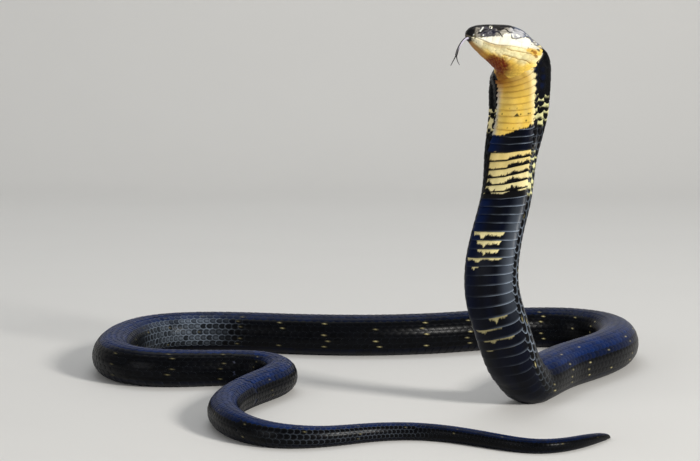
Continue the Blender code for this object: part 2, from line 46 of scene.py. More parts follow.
# The animal's middle line, snout to tail tip, and its outlines along it, all in cm as the solids
# have them. A station is a distance along that line from the snout.
course = {
    "reared": [
        (-7.95, -3.72, 45.99), (-6.6, -3.23, 45.86), (-5.18, -2.72, 45.63), (-3.82, -2.24, 45.39),
        (-2.7, -1.83, 44.98), (-1.84, -1.5, 44.33), (-1.42, -1.3, 43.45), (-1.26, -1.2, 42.45),
        (-1.18, -1.18, 41.45), (-1.2, -1.18, 40.3), (-1.29, -1.2, 38.6), (-1.37, -1.25, 36.8),
        (-1.74, -1.6, 34.5), (-2.3, -2.2, 31.7), (-2.6, -3, 29), (-3, -3.9, 26.3), (-3.7, -4.7, 23.6),
        (-4.4, -5.3, 20.7), (-4.8, -5.5, 17.6), (-4.6, -5.2, 14.5), (-3.7, -4.4, 11.2),
        (-2.6, -3.2, 7.9), (-1.3, -1.4, 4.9), (0.3, 1.1, 3.1),
    ],
    "lying": [
        (2.6, 5.2), (5.3, 10.8), (8.6, 15.9), (11.8, 20.8), (14.3, 26.2), (15.4, 32), (14.6, 37.9),
        (11.2, 41.8), (6, 42.9), (-0.5, 41.4), (-8, 38.3), (-17, 36.2), (-26, 36.4), (-35, 38.4),
        (-43.5, 39.6), (-49.3, 37.8), (-52.9, 32.3), (-54, 25), (-53, 18), (-49.4, 13.6), (-44, 12.6),
        (-38, 13.6), (-33.6, 13.5), (-31.2, 10.6), (-31.5, 5.9), (-33.7, 1), (-36, -5), (-36.9, -10.8),
        (-36, -16.2), (-33.6, -20.8), (-29.8, -23.6), (-24.6, -23.1), (-19.7, -20.7), (-14.8, -19.7),
        (-9.8, -21.3), (-5.4, -24.4), (-0.6, -26.6), (3.2, -24.7), (6, -21.6), (8.2, -18.9),
    ],
    "napeTurn": [
        (0, 1), (1.5, 5), (3, 14), (4.5, 25), (5.8, 36), (7, 45), (8, 53), (9, 61), (10, 70),
        (11.2, 79), (13, 87),
    ],
    "napeHeads": 20.0, "napeEnds": (11.0, 14.0), "wayReach": 0.35,
    "backFaces": [
        (0, -0.07, 0.19, 0.98), (6, 0.1, 0.25, 0.96), (8, 0.26, 0.48, 0.83), (10, 0.38, 0.78, 0.5),
        (12, 0.42, 0.89, 0.18), (20, 0.42, 0.9, 0.1), (42, 0.4, 0.92, 0.25), (52, 0.2, 0.5, 0.8),
        (58, 0, 0, 1), (300, 0, 0, 1),
    ],
    # station, half width, back, belly, squareness
    "sizes": [
        (0, 0, 0, 0, 2), (0.12, 0.55, 0.46, 0.42, 2.2), (0.4, 0.94, 0.8, 0.78, 2.3),
        (0.8, 1.2, 1.04, 1.2, 2.4), (1.5, 1.48, 1.25, 1.8, 2.4), (2.3, 1.7, 1.42, 2.25, 2.4),
        (3, 1.88, 1.55, 2.58, 2.4), (4, 2.12, 1.74, 3, 2.4), (5, 2.38, 1.93, 3.38, 2.3),
        (6, 2.52, 1.96, 3.65, 2.3), (7, 2.74, 1.84, 3.72, 2.3), (8, 3.68, 1.86, 3.55, 2.2),
        (8.5, 4.06, 1.85, 3.36, 2.1), (9, 4.24, 1.84, 3.1, 2.1), (10, 4.2, 1.74, 2.45, 2.1),
        (11, 4.06, 1.6, 1.85, 2.1), (12.5, 3.96, 1.42, 1.4, 2.1), (14.5, 3.84, 1.34, 1.2, 2.1),
        (17, 3.62, 1.42, 1.2, 2.1), (20, 3.4, 1.6, 1.36, 2.2), (24, 3.22, 1.72, 1.48, 2.2),
        (28, 3.15, 1.82, 1.58, 2.2), (34, 3.35, 2, 1.8, 2.2), (40, 3.52, 2.2, 2, 2.2),
        (46, 3.5, 2.45, 2.3, 2.2), (52, 3.28, 2.72, 2.62, 2.1), (60, 3.1, 2.95, 2.8, 2.1),
        (80, 3.1, 3.05, 2.8, 2.1), (130, 3.1, 3.05, 2.8, 2.1), (160, 3, 2.95, 2.7, 2.1),
        (185, 2.75, 2.7, 2.45, 2.1), (205, 2.4, 2.35, 2.15, 2.1), (220, 2.15, 2.1, 1.95, 2.1),
        (235, 1.85, 1.8, 1.7, 2.1), (245, 1.55, 1.5, 1.4, 2.1), (252, 1.28, 1.22, 1.15, 2.1),
        (262, 1.1, 1.05, 1, 2.1), (275, 0.94, 0.89, 0.84, 2.1), (283, 0.8, 0.76, 0.72, 2.1),
        (286.5, 0.64, 0.6, 0.56, 2.1), (288.8, 0.38, 0.35, 0.33, 2.1),
    ],
    "rises": (49.0, 57.0),
    "sunk": 0.93,
    "throatBulge": [
        (7, 0), (9, 0.3), (11, 0.75), (13, 0.85), (16, 0.55), (20, 0.15), (23, 0),
    ],
    "brow": {"station": 2.4, "length": 0.95, "turn": 0.115, "width": 0.04, "height": 0.12},
    "cheek": {"station": 6.3, "length": 1.5, "turn": 0.26, "width": 0.09, "height": 0.14},
    "mouth": [
        (-0.8, -0.3), (0.2, -0.32), (0.6, -0.44), (1.4, -0.76), (2.7, -1.12), (3.7, -1.24), (4.6, -1.2),
        (5.4, -1.1), (6.5, -0.85), (7.2, -0.65), (9, -0.55), (12, -0.4),
    ],
    # station, half the share of the outline that a scute takes, turn of its middle
    "scuteSpans": [
        (8, 0.125, 0.485), (10.4, 0.102, 0.478), (11.5, 0.094, 0.484), (13.3, 0.097, 0.489),
        (14.3, 0.104, 0.494), (15.4, 0.122, 0.495), (16.8, 0.14, 0.493), (18.5, 0.156, 0.49),
        (20.5, 0.178, 0.495), (24, 0.182, 0.5), (40, 0.185, 0.5), (56, 0.17, 0.5), (200, 0.16, 0.5),
        (300, 0.18, 0.5),
    ],
    # station, length of a belly scute
    "scutePitches": [
        (9, 0.87), (16.5, 0.89), (18.3, 0.92), (19.5, 1.05), (23.3, 0.99), (24.5, 0.92), (26, 0.97),
        (29.5, 1.01), (33, 0.92), (34.9, 1.08), (36, 1.19), (39.6, 1.31), (41, 1.37), (42.3, 1.32),
        (43.7, 1.21), (46, 1.18), (54, 1.04), (170, 1.04), (210, 0.92), (235, 0.7), (270, 0.5),
        (290, 0.34),
    ],
    "eye": {"station": 2.5, "across": 1.33, "up": 0.78, "radius": 0.34},
    "nostril": {"station": 1.05, "across": 1.22, "up": 0.4, "radius": 0.13},
}


# A smooth line through one column of a table that never overshoots it: cubic pieces whose slope
# at each entry is the harmonic mean of its neighbours' slopes, or none where they turn.
def easeBetween(x, table, column=1):
    at = np.array([row[0] for row in table], float)
    value = np.array([row[column] for row in table], float)
    rise = np.diff(value) / np.diff(at)
    slope = np.zeros_like(value)
    same = rise[:-1] * rise[1:] > 0
    slope[1:-1][same] = 2 * rise[:-1][same] * rise[1:][same] / (rise[:-1] + rise[1:])[same]
    slope[0], slope[-1] = rise[0], rise[-1]
    i = np.clip(np.searchsorted(at, x) - 1, 0, len(at) - 2)
    span = at[i + 1] - at[i]
    t = np.clip((x - at[i]) / span, 0, 1)
    start = (2 * t**3 - 3 * t**2 + 1) * value[i] + (t**3 - 2 * t**2 + t) * span * slope[i]
    return start + (3 * t**2 - 2 * t**3) * value[i + 1] + (t**3 - t**2) * span * slope[i + 1]


# Eased rise from 0 at low to 1 at high: three squares less two cubes of the share of the way. It
# falls where low is the larger.
def smoothStep(x, low, high):
    t = np.clip((x - low) / (high - low), 0, 1)
    return t * t * (3 - 2 * t)


# A hump of height 1: e to the minus square of the distance from its middle over its width.
def bump(x, middle, width):
    return np.exp(-(((x - middle) / width) ** 2))


# 1 from low to high and 0 outside: an eased rise times an eased fall, each soft on both sides.
def within(x, low, high, soft=0.15):
    return smoothStep(x, low - soft, low + soft) * (1 - smoothStep(x, high - soft, high + soft))


# Straight lines between a table's rows: one of its columns at x.
def between(x, table, column=1):
    return np.interp(x, [row[0] for row in table], [row[column] for row in table])


# Vectors over their own lengths.
def unit(vectors):
    return vectors / np.linalg.norm(vectors, axis=-1, keepdims=True)


# Distance run along a line of points, from its first.
def runAlong(points):
    return np.concatenate([[0], np.cumsum(np.linalg.norm(np.diff(points, axis=0), axis=1))])


# A curve of continuous bend through points (natural cubic spline on the straight distances).
def naturalSpline(points, perSpan=24):
    points = np.array(points, float)
    knots = runAlong(points)
    span, count = np.diff(knots), len(points)
    matrix, right = np.eye(count), np.zeros_like(points)
    for i in range(1, count - 1):
        matrix[i, i - 1 : i + 2] = span[i - 1], 2 * (span[i - 1] + span[i]), span[i]
        right[i] = 6 * ((points[i + 1] - points[i]) / span[i] - (points[i] - points[i - 1]) / span[i - 1])
    bend = np.linalg.solve(matrix, right)
    x = np.linspace(0, knots[-1], perSpan * (count - 1) + 1)
    i = np.clip(np.searchsorted(knots, x) - 1, 0, count - 2)
    a, b, h = (knots[i + 1] - x)[:, None], (x - knots[i])[:, None], span[i][:, None]
    bent = (bend[i] * a**3 + bend[i + 1] * b**3) / (6 * h)
    return bent + (points[i] / h - bend[i] * h / 6) * a + (points[i + 1] / h - bend[i + 1] * h / 6) * b


# Half width, back, belly and squareness at stations, closing at the tail's tip.
def sizesAt(station, length):
    rows = course["sizes"] + [(max(length, course["sizes"][-1][0] + 0.5), 0.0, 0.0, 0.0, 2.0)]
    return [easeBetween(station, rows, k) for k in (1, 2, 3, 4)]


# The middle line in space: the reared points as they are, the lying ones at the body's own height.
def makeLine():
    line = naturalSpline(course["reared"] + [(x, y, 0.0) for x, y in course["lying"]])
    for _ in range(2):
        at = runAlong(line)
        lies = smoothStep(at, *course["rises"])
        resting = course["sunk"] * sizesAt(at, at[-1])[2]
        line[:, 2] = (1 - lies) * np.maximum(line[:, 2], 0) + lies * resting
    return at, line


lineAt, linePoints = makeLine()
bodyLength = lineAt[-1]


# The middle line's point at a station, straight between the points worked out.
def linePoint(station):
    return np.stack([np.interp(station, lineAt, linePoints[:, k]) for k in range(3)], -1)


# Middle point, way to the tail, way of the back and way of the left side at each station.
def frameAt(station):
    inside = np.clip(np.asarray(station, float), 0.0, bodyLength)
    reach = course["wayReach"]
    ahead, behind = (linePoint(np.clip(inside + d, 0, bodyLength)) for d in (reach, -reach))
    fall = np.radians(easeBetween(inside, course["napeTurn"]))
    bearing = math.radians(course["napeHeads"])
    level = np.cos(fall)
    turned = np.stack([level * math.cos(bearing), level * math.sin(bearing), -np.sin(fall)], -1)
    share = smoothStep(inside, *course["napeEnds"])[..., None]
    along = unit((1 - share) * turned + share * unit(ahead - behind))
    hint = np.stack([easeBetween(inside, course["backFaces"], k) for k in (1, 2, 3)], -1)
    back = unit(hint - (hint * along).sum(-1, keepdims=True) * along)
    beyond = (station - inside)[..., None] * along
    return linePoint(inside) + beyond, along, back, np.cross(along, back)


# A point in cm so far to the animal's left and so far towards its back.
def place(station, across, up):
    centre, _, back, left = frameAt(np.asarray(station, float))
    return centre + np.asarray(across)[..., None] * left + np.asarray(up)[..., None] * back


# Where an eye or a nostril sits, on the left (1) or the right (-1).
def onHead(name, side):
    return place(course[name]["station"], side * course[name]["across"], course[name]["up"])


# The skin as a fine grid, stations by turns. A turn of 0 is the middle of the back, 0.25 about the
# left side, 0.5 the middle of the belly, by distance round a superellipse outline.
grid = {
    "turns": 512, "outlineSteps": 480, "snoutRows": 26, "snoutEnds": 0.4, "finePart": 60.0,
    "fineStep": 0.06, "step": 0.2, "mouthFrom": 0.3, "throatSides": (0.315, 0.42),
}


# Stations of the grid's rows: close at the snout, fine along the reared front, wider behind.
def gridRows():
    snout = grid["snoutEnds"] * (np.arange(1, grid["snoutRows"]) / grid["snoutRows"]) ** 2
    fine = np.arange(grid["snoutEnds"], grid["finePart"], grid["fineStep"])
    rear = np.arange(grid["finePart"], bodyLength, grid["step"])
    return np.concatenate([[0.0005], snout, fine, rear, [bodyLength - 0.002]])


# Across and up of each outline at each turn, and its girth. A superellipse: sine and cosine to
# the power of 2 over its squareness, by distance round.
def flatOutlines(station, turn):
    halfWidth, back, belly, square = (v[:, None] for v in sizesAt(station, bodyLength))
    angle = np.linspace(0, 2 * math.pi, grid["outlineSteps"] + 1)[None, :]
    power = 2 / square
    across = halfWidth * np.sign(np.sin(angle)) * np.abs(np.sin(angle)) ** power
    up = np.where(np.cos(angle) > 0, back, belly) * np.sign(np.cos(angle)) * np.abs(np.cos(angle)) ** power
    run = np.cumsum(np.hypot(np.diff(across, axis=1), np.diff(up, axis=1)), axis=1)
    run = np.concatenate([np.zeros((len(run), 1)), run], axis=1)
    flat = np.zeros((2, len(station), len(turn)))
    for i in range(len(station)):
        share = run[i] / max(run[i, -1], 1e-9)
        flat[0, i], flat[1, i] = np.interp(turn, share, across[i]), np.interp(turn, share, up[i])
    return flat, run[:, -1]


# Each outline grown by the brow, cheek and throat swellings, set across the middle line; normals
# are the cross product of the ways round and along. Also the mouth's turn and the girth by row.
def makeGrid():
    station = gridRows()
    turn = np.arange(grid["turns"] + 1) / grid["turns"]
    flat, girth = flatOutlines(station, turn)
    side = np.minimum(turn, 1 - turn)[None, :]
    lift = np.zeros(flat[0].shape)
    for form in (course["brow"], course["cheek"]):
        along = form["height"] * bump(station, form["station"], form["length"])
        lift += along[:, None] * bump(side, form["turn"], form["width"])
    lift += easeBetween(station, course["throatBulge"])[:, None] * smoothStep(side, *grid["throatSides"])
    grow = 1 + lift / np.maximum(np.hypot(flat[0], flat[1]), 1e-6)
    centre, along, back, left = frameAt(station)
    across, up = ((share * grow)[..., None] for share in flat)
    points = centre[:, None] + across * left[:, None] + up * back[:, None]
    points[..., 2] = np.maximum(points[..., 2], 0)
    byStation = np.gradient(points, station, axis=0)
    byTurn = np.roll(points[:, :-1], -1, 1) - np.roll(points[:, :-1], 1, 1)
    facing = np.cross(np.concatenate([byTurn, byTurn[:, :1]], axis=1), byStation)
    size = np.linalg.norm(facing, axis=-1, keepdims=True)
    normal = np.where(size > 1e-12, facing / np.maximum(size, 1e-12), -along[:, None])
    normal[0], normal[-1] = -along[0], along[-1]
    half = turn <= 0.5
    mouthUp = easeBetween(station, course["mouth"])
    mouthTurn = np.array([np.interp(-m, -row[half], turn[half]) for m, row in zip(mouthUp, flat[1])])
    mouthTurn[station < grid["mouthFrom"]] = mouthTurn[np.searchsorted(station, grid["mouthFrom"])]
    return station, points, normal, mouthTurn, girth


gridStation, gridPoints, gridNormals, gridMouth, gridGirth = makeGrid()
eyeMiddle = (np.array(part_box("eye_left")[0]) + np.array(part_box("eye_left")[1])) / 2
toPart = eyeMiddle / cm - onHead("eye", 1)  # from the tables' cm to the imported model's frame


# Four-point blend of grid values at any stations and turns.
def fromGrid(values, station, turn):
    row = np.interp(station, gridStation, np.arange(len(gridStation)))
    column = (turn % 1.0) * grid["turns"]
    i = np.minimum(row.astype(int), len(gridStation) - 2)
    j = np.minimum(column.astype(int), grid["turns"] - 1)
    a, b = (row - i)[..., None], (column - j)[..., None]
    first = values[i, j] * (1 - b) + values[i, j + 1] * b
    return first * (1 - a) + (values[i + 1, j] * (1 - b) + values[i + 1, j + 1] * b) * a


# Places in cm at a height over the skin's outline (below 0 is inside), never under the floor.
def onSkin(station, turn, height):
    found = fromGrid(gridPoints, station, turn)
    found = found + np.asarray(height)[..., None] * unit(fromGrid(gridNormals, station, turn))
    found[..., 2] = np.maximum(found[..., 2], 0)
    return found


# A value that the grid has for each row, at any station.
def lookUp(values, station):
    return np.interp(station, gridStation, values)


# Repeatable scatter from -1 to 1 out of whole or real numbers: the fraction of a large sine.
def scatter(*numbers):
    total = sum(np.asarray(n, float) * f for n, f in zip(numbers, (12.9898, 78.233, 37.719, 9.151)))
    value = np.sin(total) * 43758.5453
    return 2 * (value - np.floor(value)) - 1


# Smooth wandering noise from -1 to 1 over two coordinates: scatter at whole numbers, eased between.
def wander(x, y, seed=0.0):
    x, y = np.broadcast_arrays(np.asarray(x, float), np.asarray(y, float))
    i, j = np.floor(x), np.floor(y)
    a, b = smoothStep(x - i, 0, 1), smoothStep(y - j, 0, 1)
    low = scatter(i, j, seed) * (1 - a) + scatter(i + 1, j, seed) * a
    return low * (1 - b) + (scatter(i, j + 1, seed) * (1 - a) + scatter(i + 1, j + 1, seed) * a) * b


# An object at the origin that holds a mesh, a light or a camera.
def addObject(name, data):
    made = bpy.data.objects.new(name, data)
    bpy.context.scene.collection.objects.link(made)
    return made


# One closed mesh from corners in cm and lists of faces, each list of one number of sides, with a
# tint at each corner and a place in the OFBake map for each face corner.
def makePiece(name, corners, faceLists, tint, uv, material, sharp=50):
    loops = np.concatenate([f.ravel() for f in faceLists])
    sides = np.concatenate([np.full(len(f), f.shape[1]) for f in faceLists])
    mesh = bpy.data.meshes.new(name)
    mesh.vertices.add(len(corners))
    mesh.vertices.foreach_set("co", ((corners + toPart) * cm).astype(np.float32).ravel())
    mesh.loops.add(len(loops))
    mesh.loops.foreach_set("vertex_index", loops.astype(np.int32))
    mesh.polygons.add(len(sides))
    mesh.polygons.foreach_set("loop_start", (np.cumsum(sides) - sides).astype(np.int32))
    mesh.update(calc_edges=True)
    mesh.polygons.foreach_set("use_smooth", np.ones(len(sides), bool))
    mesh.uv_layers.new(name="OFBake").data.foreach_set("uv", uv.astype(np.float32).ravel())
    colour = np.concatenate([np.clip(tint, 0, 1), np.ones((len(tint), 1))], axis=1).astype(np.float32)
    mesh.color_attributes.new("tint", "FLOAT_COLOR", "POINT").data.foreach_set("color", colour.ravel())
    mesh.validate()
    if sharp:
        mesh.set_sharp_from_angle(angle=math.radians(sharp))
    mesh.materials.append(material)
    made = addObject(name, mesh)
    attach(made, "root")
    print(f"{name}: {sum(len(f) * (f.shape[1] - 2) for f in faceLists)} triangles")
    return made


# Faces of a tube of rings, a fan to a point closing each end; the two points come after the rings.
def tubeFaces(rows, columns):
    i, j = np.meshgrid(np.arange(rows - 1), np.arange(columns), indexing="ij")
    k = (j + 1) % columns
    quads = np.stack([i * columns + j, i * columns + k, (i + 1) * columns + k, (i + 1) * columns + j], -1)
    around, last, points = np.arange(columns), (rows - 1) * columns, rows * columns
    after = np.roll(around, -1)
    start = np.stack([np.full(columns, points), after, around], -1)
    end = np.stack([np.full(columns, points + 1), last + around, last + after], -1)
    return [quads.reshape(-1, 4), np.concatenate([start, end])]


# One such tube as a piece, the end points with the tints of the first and last corner, or their own.
def tubePiece(name, rings, ends, tint, uv, material, endTints=None):
    flat = tint.reshape(-1, 3)
    endTints = flat[[0, -1]] if endTints is None else endTints
    corners, tints = np.concatenate([rings.reshape(-1, 3), ends]), np.concatenate([flat, endTints])
    return makePiece(name, corners, tubeFaces(*rings.shape[:2]), tints, uv, material, sharp=0)


# OFBake places for the face corners of a tube: its length laid out in lanes one above the other,
# turns up each lane. The last column ends at a full turn, and a face keeps to its first row's lane.
def tubeUv(station, turn, lanes=4):
    rows, columns = len(station), len(turn)
    ends = np.append(turn, 1.0)
    along = station / bodyLength * lanes
    lane = np.minimum(np.floor(along), lanes - 1)
    i, j = np.meshgrid(np.arange(rows - 1), np.arange(columns), indexing="ij")
    corner = [(i, j), (i, j + 1), (i + 1, j + 1), (i + 1, j)]
    quads = [np.stack([along[a] - lane[i], (lane[i] + ends[b]) / lanes], -1) for a, b in corner]
    fans = []
    for row, order in ((0, (0.5, 1, 0)), (-1, (0.5, 0, 1))):
        start = np.full(columns, along[row] - lane[row])
        turns = [ends[:-1] * (1 - o) + ends[1:] * o for o in order]
        fans.append(np.stack([np.stack([start, (lane[row] + t) / lanes], -1) for t in turns], 1))
    return np.concatenate([np.stack(quads, 2).reshape(-1, 2), np.concatenate(fans).reshape(-1, 2)])


# The colours, as the shades of 0 to 255 that daylight gives them.
shades = {
    "black": (5, 6, 10), "suture": (14, 14, 16), "plateBrown": (44, 40, 38), "faceDark": (74, 72, 78),
    # the back blue is the skin's own blue black and also a painted blue sheen, the sky blue a painted
    # reflection of the sky
    "navy": (22, 22, 40), "blueBlackAndSheen": (0, 28, 78), "paintedSkyReflection": (4, 40, 96), "blueGrey": (98, 108, 130),
    # the edge grey paints pale scale edges and also painted highlights, glints and sheen
    "faceGrey": (124, 123, 128), "paleEdgeAndGlint": (168, 182, 200), "rose": (196, 196, 200),
    "sand": (166, 160, 148), "olive": (104, 98, 66), "sage": (206, 206, 152), "cream": (226, 213, 154),
    "lip": (244, 240, 222), "spotWhite": (246, 248, 240), "jawPale": (228, 217, 168),
    # the jaw shade is a painted shadow under the upper lip
    "lipShadowTan": (196, 176, 130), "paleYellow": (238, 224, 168), "yellow": (238, 200, 90),
    # the fold brown is dark joints and painted shade in the skin's creases; the throat orange and the throat
    # red below are partly the throat's own colour, partly painted shade
    "collarYellow": (240, 196, 88), "foldBrown": (150, 108, 34), "throatOrange": (166, 108, 30),
    # the mouth pink, darkened, is painted shade along the mouth line
    "throatRedAndShadow": (104, 28, 2), "mouthPinkInShade": (112, 74, 60), "irisDark": (186, 180, 150),
    # the pale iris is partly painted highlight, the tongue violet the tongue's own tone with painted highlight
    "irisPale": (244, 244, 230), "tongueVioletAndHighlight": (206, 200, 222), "tongueInk": (14, 12, 18),
}


# A shade as light: over 12.92 near black, else ((c + 0.055) / 1.055) to the power of 2.4.
def linear(shade):
    value = np.array(shade) / 255
    return np.where(value <= 0.04045, value / 12.92, ((value + 0.055) / 1.055) ** 2.4)


palette = {name: linear(shade) for name, shade in shades.items()}


# Part way from one colour to another, each given by name or as it is: a + share * (b - a).
def mix(a, b, share):
    a, b = (palette[colour] if isinstance(colour, str) else colour for colour in (a, b))
    share = np.asarray(share)[..., None]
    return a * (1 - share) + b * share


# The bands of the reared front by station, and how the belly is painted. Beyond them it is black.
bands = {
    "cream": (20.1, 26.1),
    # one patch to a scute: its front edge, from and to across the picture, share of its length
    "patches": [
        (30.08, -0.87, 0.46, 0.56), (31.08, -0.61, 0.4, 0.52), (32.05, -0.5, 0.38, 0.52),
        (32.99, -0.97, 0.55, 0.34), (33.91, -0.63, -0.32, 0.3), (39.68, -0.1, 0.61, 0.34),
        (40.99, -0.78, 0.31, 0.22), (42.36, -0.59, 0.66, 0.22), (43.68, -1, 0.58, 0.09),
    ],
    # where the yellow ends, from the picture's left to its right
    "yellowEnds": [
        (-0.9, 18.3), (-0.6, 18.05), (-0.25, 18), (0, 17.75), (0.12, 17.4), (0.4, 17.15), (0.75, 16.9),
        (1.1, 16.8),
    ],
    "left": [(12.7, 16.0), (19.6, 25.4)], "right": [(14.4, 17.7)],
    # shares of painted blue reflection and of painted highlights on the free edges, and how far left the cream
    # begins, by station
    "blue": [(18, 1), (27, 0.9), (34, 0.35), (44, 0)],
    "edgeHighlights": [(17, 0.75), (25, 1), (38, 0.95), (42, 0.6), (45, 0.22), (48, 0.04)],
    "creamFrom": [(20.5, -0.72), (25.5, -0.88)],
    # shares across the picture where the yellow pales and where painted shade greys it, and stations where
    # colours fade, the orange and red partly painted shade, the sheen a painted reflection
    "leftPale": (0.45, 1.0), "rightPale": (0.55, 0.95), "shadeLeft": (0.55, 0.95), "greyFrom": (10.8, 12.5),
    "orange": (14.5, 9.5), "orangeLeft": (-0.5, 0.7), "red": (11.4, 9.2), "redLeft": (0.0, 0.8),
    "linesFade": (11, 16), "dots": (14.3, 16.9, 0.3), "moreDots": (14.5, 16.5), "tooth": (15.15, 0.12),
    "creamFades": (20.5, 25.0), "blueLeft": (0.15, 1.0), "highlightRight": (-0.6, 1.05),
    "sheen": (27, 39, 3.0), "sheenRight": (0.62, 1.1, 0.3), "dotsAcross": 13,
}


# Length of a belly scute at a station, and of the scales beside it.
def scutePitch(station):
    return between(station, course["scutePitches"])


# Half the share of the outline that the belly scutes take, and the turn of their middle.
def scuteSpan(station):
    return [between(station, course["scuteSpans"], k) for k in (1, 2)]


slant = {
    "ahead": [(9, 0.3), (17, 0.72), (25, 0.8), (30, 0.6), (34, 0.42), (38, 0.26), (45, 0.16), (52, 0)],
    "behind": [
        (9, 0.1), (21, 0.08), (25, 0.3), (30, 0.42), (34, 0.45), (37, 0.2), (40, 0.2), (42, 0.5),
        (46, 0.5), (52, 0),
    ],
}


# How far the belly's rows slant, in cm, by y across it: the animal's left end runs ahead of the
# middle and its right end behind, as they do where the reared front twists.
def scuteSkew(station, y):
    return y * np.where(y < 0, between(station, slant["ahead"]), between(station, slant["behind"]))


# Stations a scute's length apart, while more than so many lengths are left before the end.
def pitchSteps(start, end, spare=0.0):
    found, at = [], start
    while at < end - spare * scutePitch(at):
        found.append(at)
        at += scutePitch(at)
    return found


# Give a node's inputs their values, or join them to other nodes' outputs.
def fillInputs(tree, node, inputs):
    for port, value in inputs.items():
        if isinstance(value, bpy.types.NodeSocket):
            tree.links.new(value, node.inputs[port])
        else:
            node.inputs[port].default_value = value


# A new shader node of one kind with its settings and inputs.
def addNode(tree, kind, inputs=None, **settings):
    node = tree.nodes.new("ShaderNode" + kind)
    for name, value in settings.items():
        setattr(node, name, value)
    fillInputs(tree, node, inputs or {})
    return node


# A group that turns a tint into a skin finish: blotchy and grainy colour, roughness and fine height.
def makeScaleFinish():
    tree = bpy.data.node_groups.new("scaleFinish", "ShaderNodeTree")
    given = {"Tint": (0.5, 0.5, 0.5, 1), "Mottle": 0.25, "Smooth": 0.22, "Rough": 0.42, "Grain": 1.0}
    for name, value in given.items():
        kind = "NodeSocketColor" if name == "Tint" else "NodeSocketFloat"
        tree.interface.new_socket(name, in_out="INPUT", socket_type=kind).default_value = value
    for name in ("Colour", "Roughness", "Height"):
        kind = "NodeSocketColor" if name == "Colour" else "NodeSocketFloat"
        tree.interface.new_socket(name, in_out="OUTPUT", socket_type=kind)
    given = tree.nodes.new("NodeGroupInput").outputs
    where = addNode(tree, "TexCoord").outputs["Object"]

    def noise(scale, detail):
        inputs = {"Vector": where, "Scale": scale, "Detail": detail, "Roughness": 0.6}
        return addNode(tree, "TexNoise", inputs).outputs["Fac"]

    def maths(operation, *values):
        return addNode(tree, "Math", dict(enumerate(values)), operation=operation).outputs[0]

    blotch, grain, pores = noise(90, 3), noise(700, 4), noise(2600, 2)
    # brightness = 1 + mottle * (blotches and grain about their middle)
    uneven = maths("ADD", maths("MULTIPLY", blotch, 1.4), maths("MULTIPLY", grain, 0.6))
    bright = maths("MULTIPLY_ADD", maths("SUBTRACT", uneven, 1.0), given["Mottle"], 1.0)
    colour = addNode(tree, "VectorMath", {0: given["Tint"], "Scale": bright}, operation="SCALE").outputs[0]
    spread = {"Value": grain, "From Min": 0.3, "From Max": 0.7}
    spread |= {"To Min": given["Smooth"], "To Max": given["Rough"]}
    roughness = addNode(tree, "MapRange", spread).outputs[0]
    fine = maths("ADD", maths("MULTIPLY", grain, 0.6), maths("MULTIPLY", pores, 0.4))
    height = maths("MULTIPLY", fine, given["Grain"])
    result = {"Colour": colour, "Roughness": roughness, "Height": height}
    fillInputs(tree, tree.nodes.new("NodeGroupOutput"), result)
    return tree


scaleFinish = makeScaleFinish()


# A material that reads a piece's tint through that group.
def skinMaterial(name, mottle, smooth, rough, grain, bumps, coat, coatRough, specular):
    made = bpy.data.materials.new(name)
    made.use_nodes = True
    tree = made.node_tree
    tint = addNode(tree, "Attribute", attribute_name="tint").outputs["Color"]
    given = {"Tint": tint, "Mottle": mottle, "Smooth": smooth, "Rough": rough, "Grain": grain}
    colour, roughness, height = addNode(tree, "Group", given, node_tree=scaleFinish).outputs
    relief = addNode(tree, "Bump", {"Strength": bumps, "Distance": 0.0004, "Height": height})
    fillInputs(tree, tree.nodes["Principled BSDF"], {
        "Base Color": colour, "Roughness": roughness, "Normal": relief.outputs["Normal"],
        "Coat Weight": coat, "Coat Roughness": coatRough, "Specular IOR Level": specular,
    })
    return made


# mottle, smoothest and roughest places, grain, bumps, coat and its roughness, specular level
finishes = {
    "softSkin": (0.5, 0.45, 0.7, 1.0, 0.5, 0.0, 0.3, 0.5),
    "scaleGloss": (0.35, 0.24, 0.42, 0.5, 0.25, 0.03, 0.22, 0.07),
    "scuteGloss": (0.22, 0.28, 0.46, 0.4, 0.25, 0.03, 0.22, 0.08),
    "plateGloss": (0.3, 0.38, 0.6, 0.6, 0.3, 0.0, 0.3, 0.16),
    "wetEye": (0.15, 0.05, 0.08, 0.1, 0.02, 1.0, 0.02, 0.5),
    "moistTongue": (0.3, 0.34, 0.5, 0.7, 0.3, 0.1, 0.2, 0.25),
}
materials = {name: skinMaterial(name, *values) for name, values in finishes.items()}
print(f"{len(materials)} finishes made")


bodyNodes = [f"trunk_{i}" for i in range(1, 11)] + [f"tail_{i}" for i in range(1, 5)]
skin = {
    "columns": 96, "snout": 0.3, "fineStep": 0.12, "fineUntil": 11.0, "step": 0.5, "lastRows": (0.5, 0.35, 0.2),
    "inset": 0.1, "headInset": 0.17, "headEnds": (9.0, 11.0), "most": 0.45,  # most: share of the radius
}


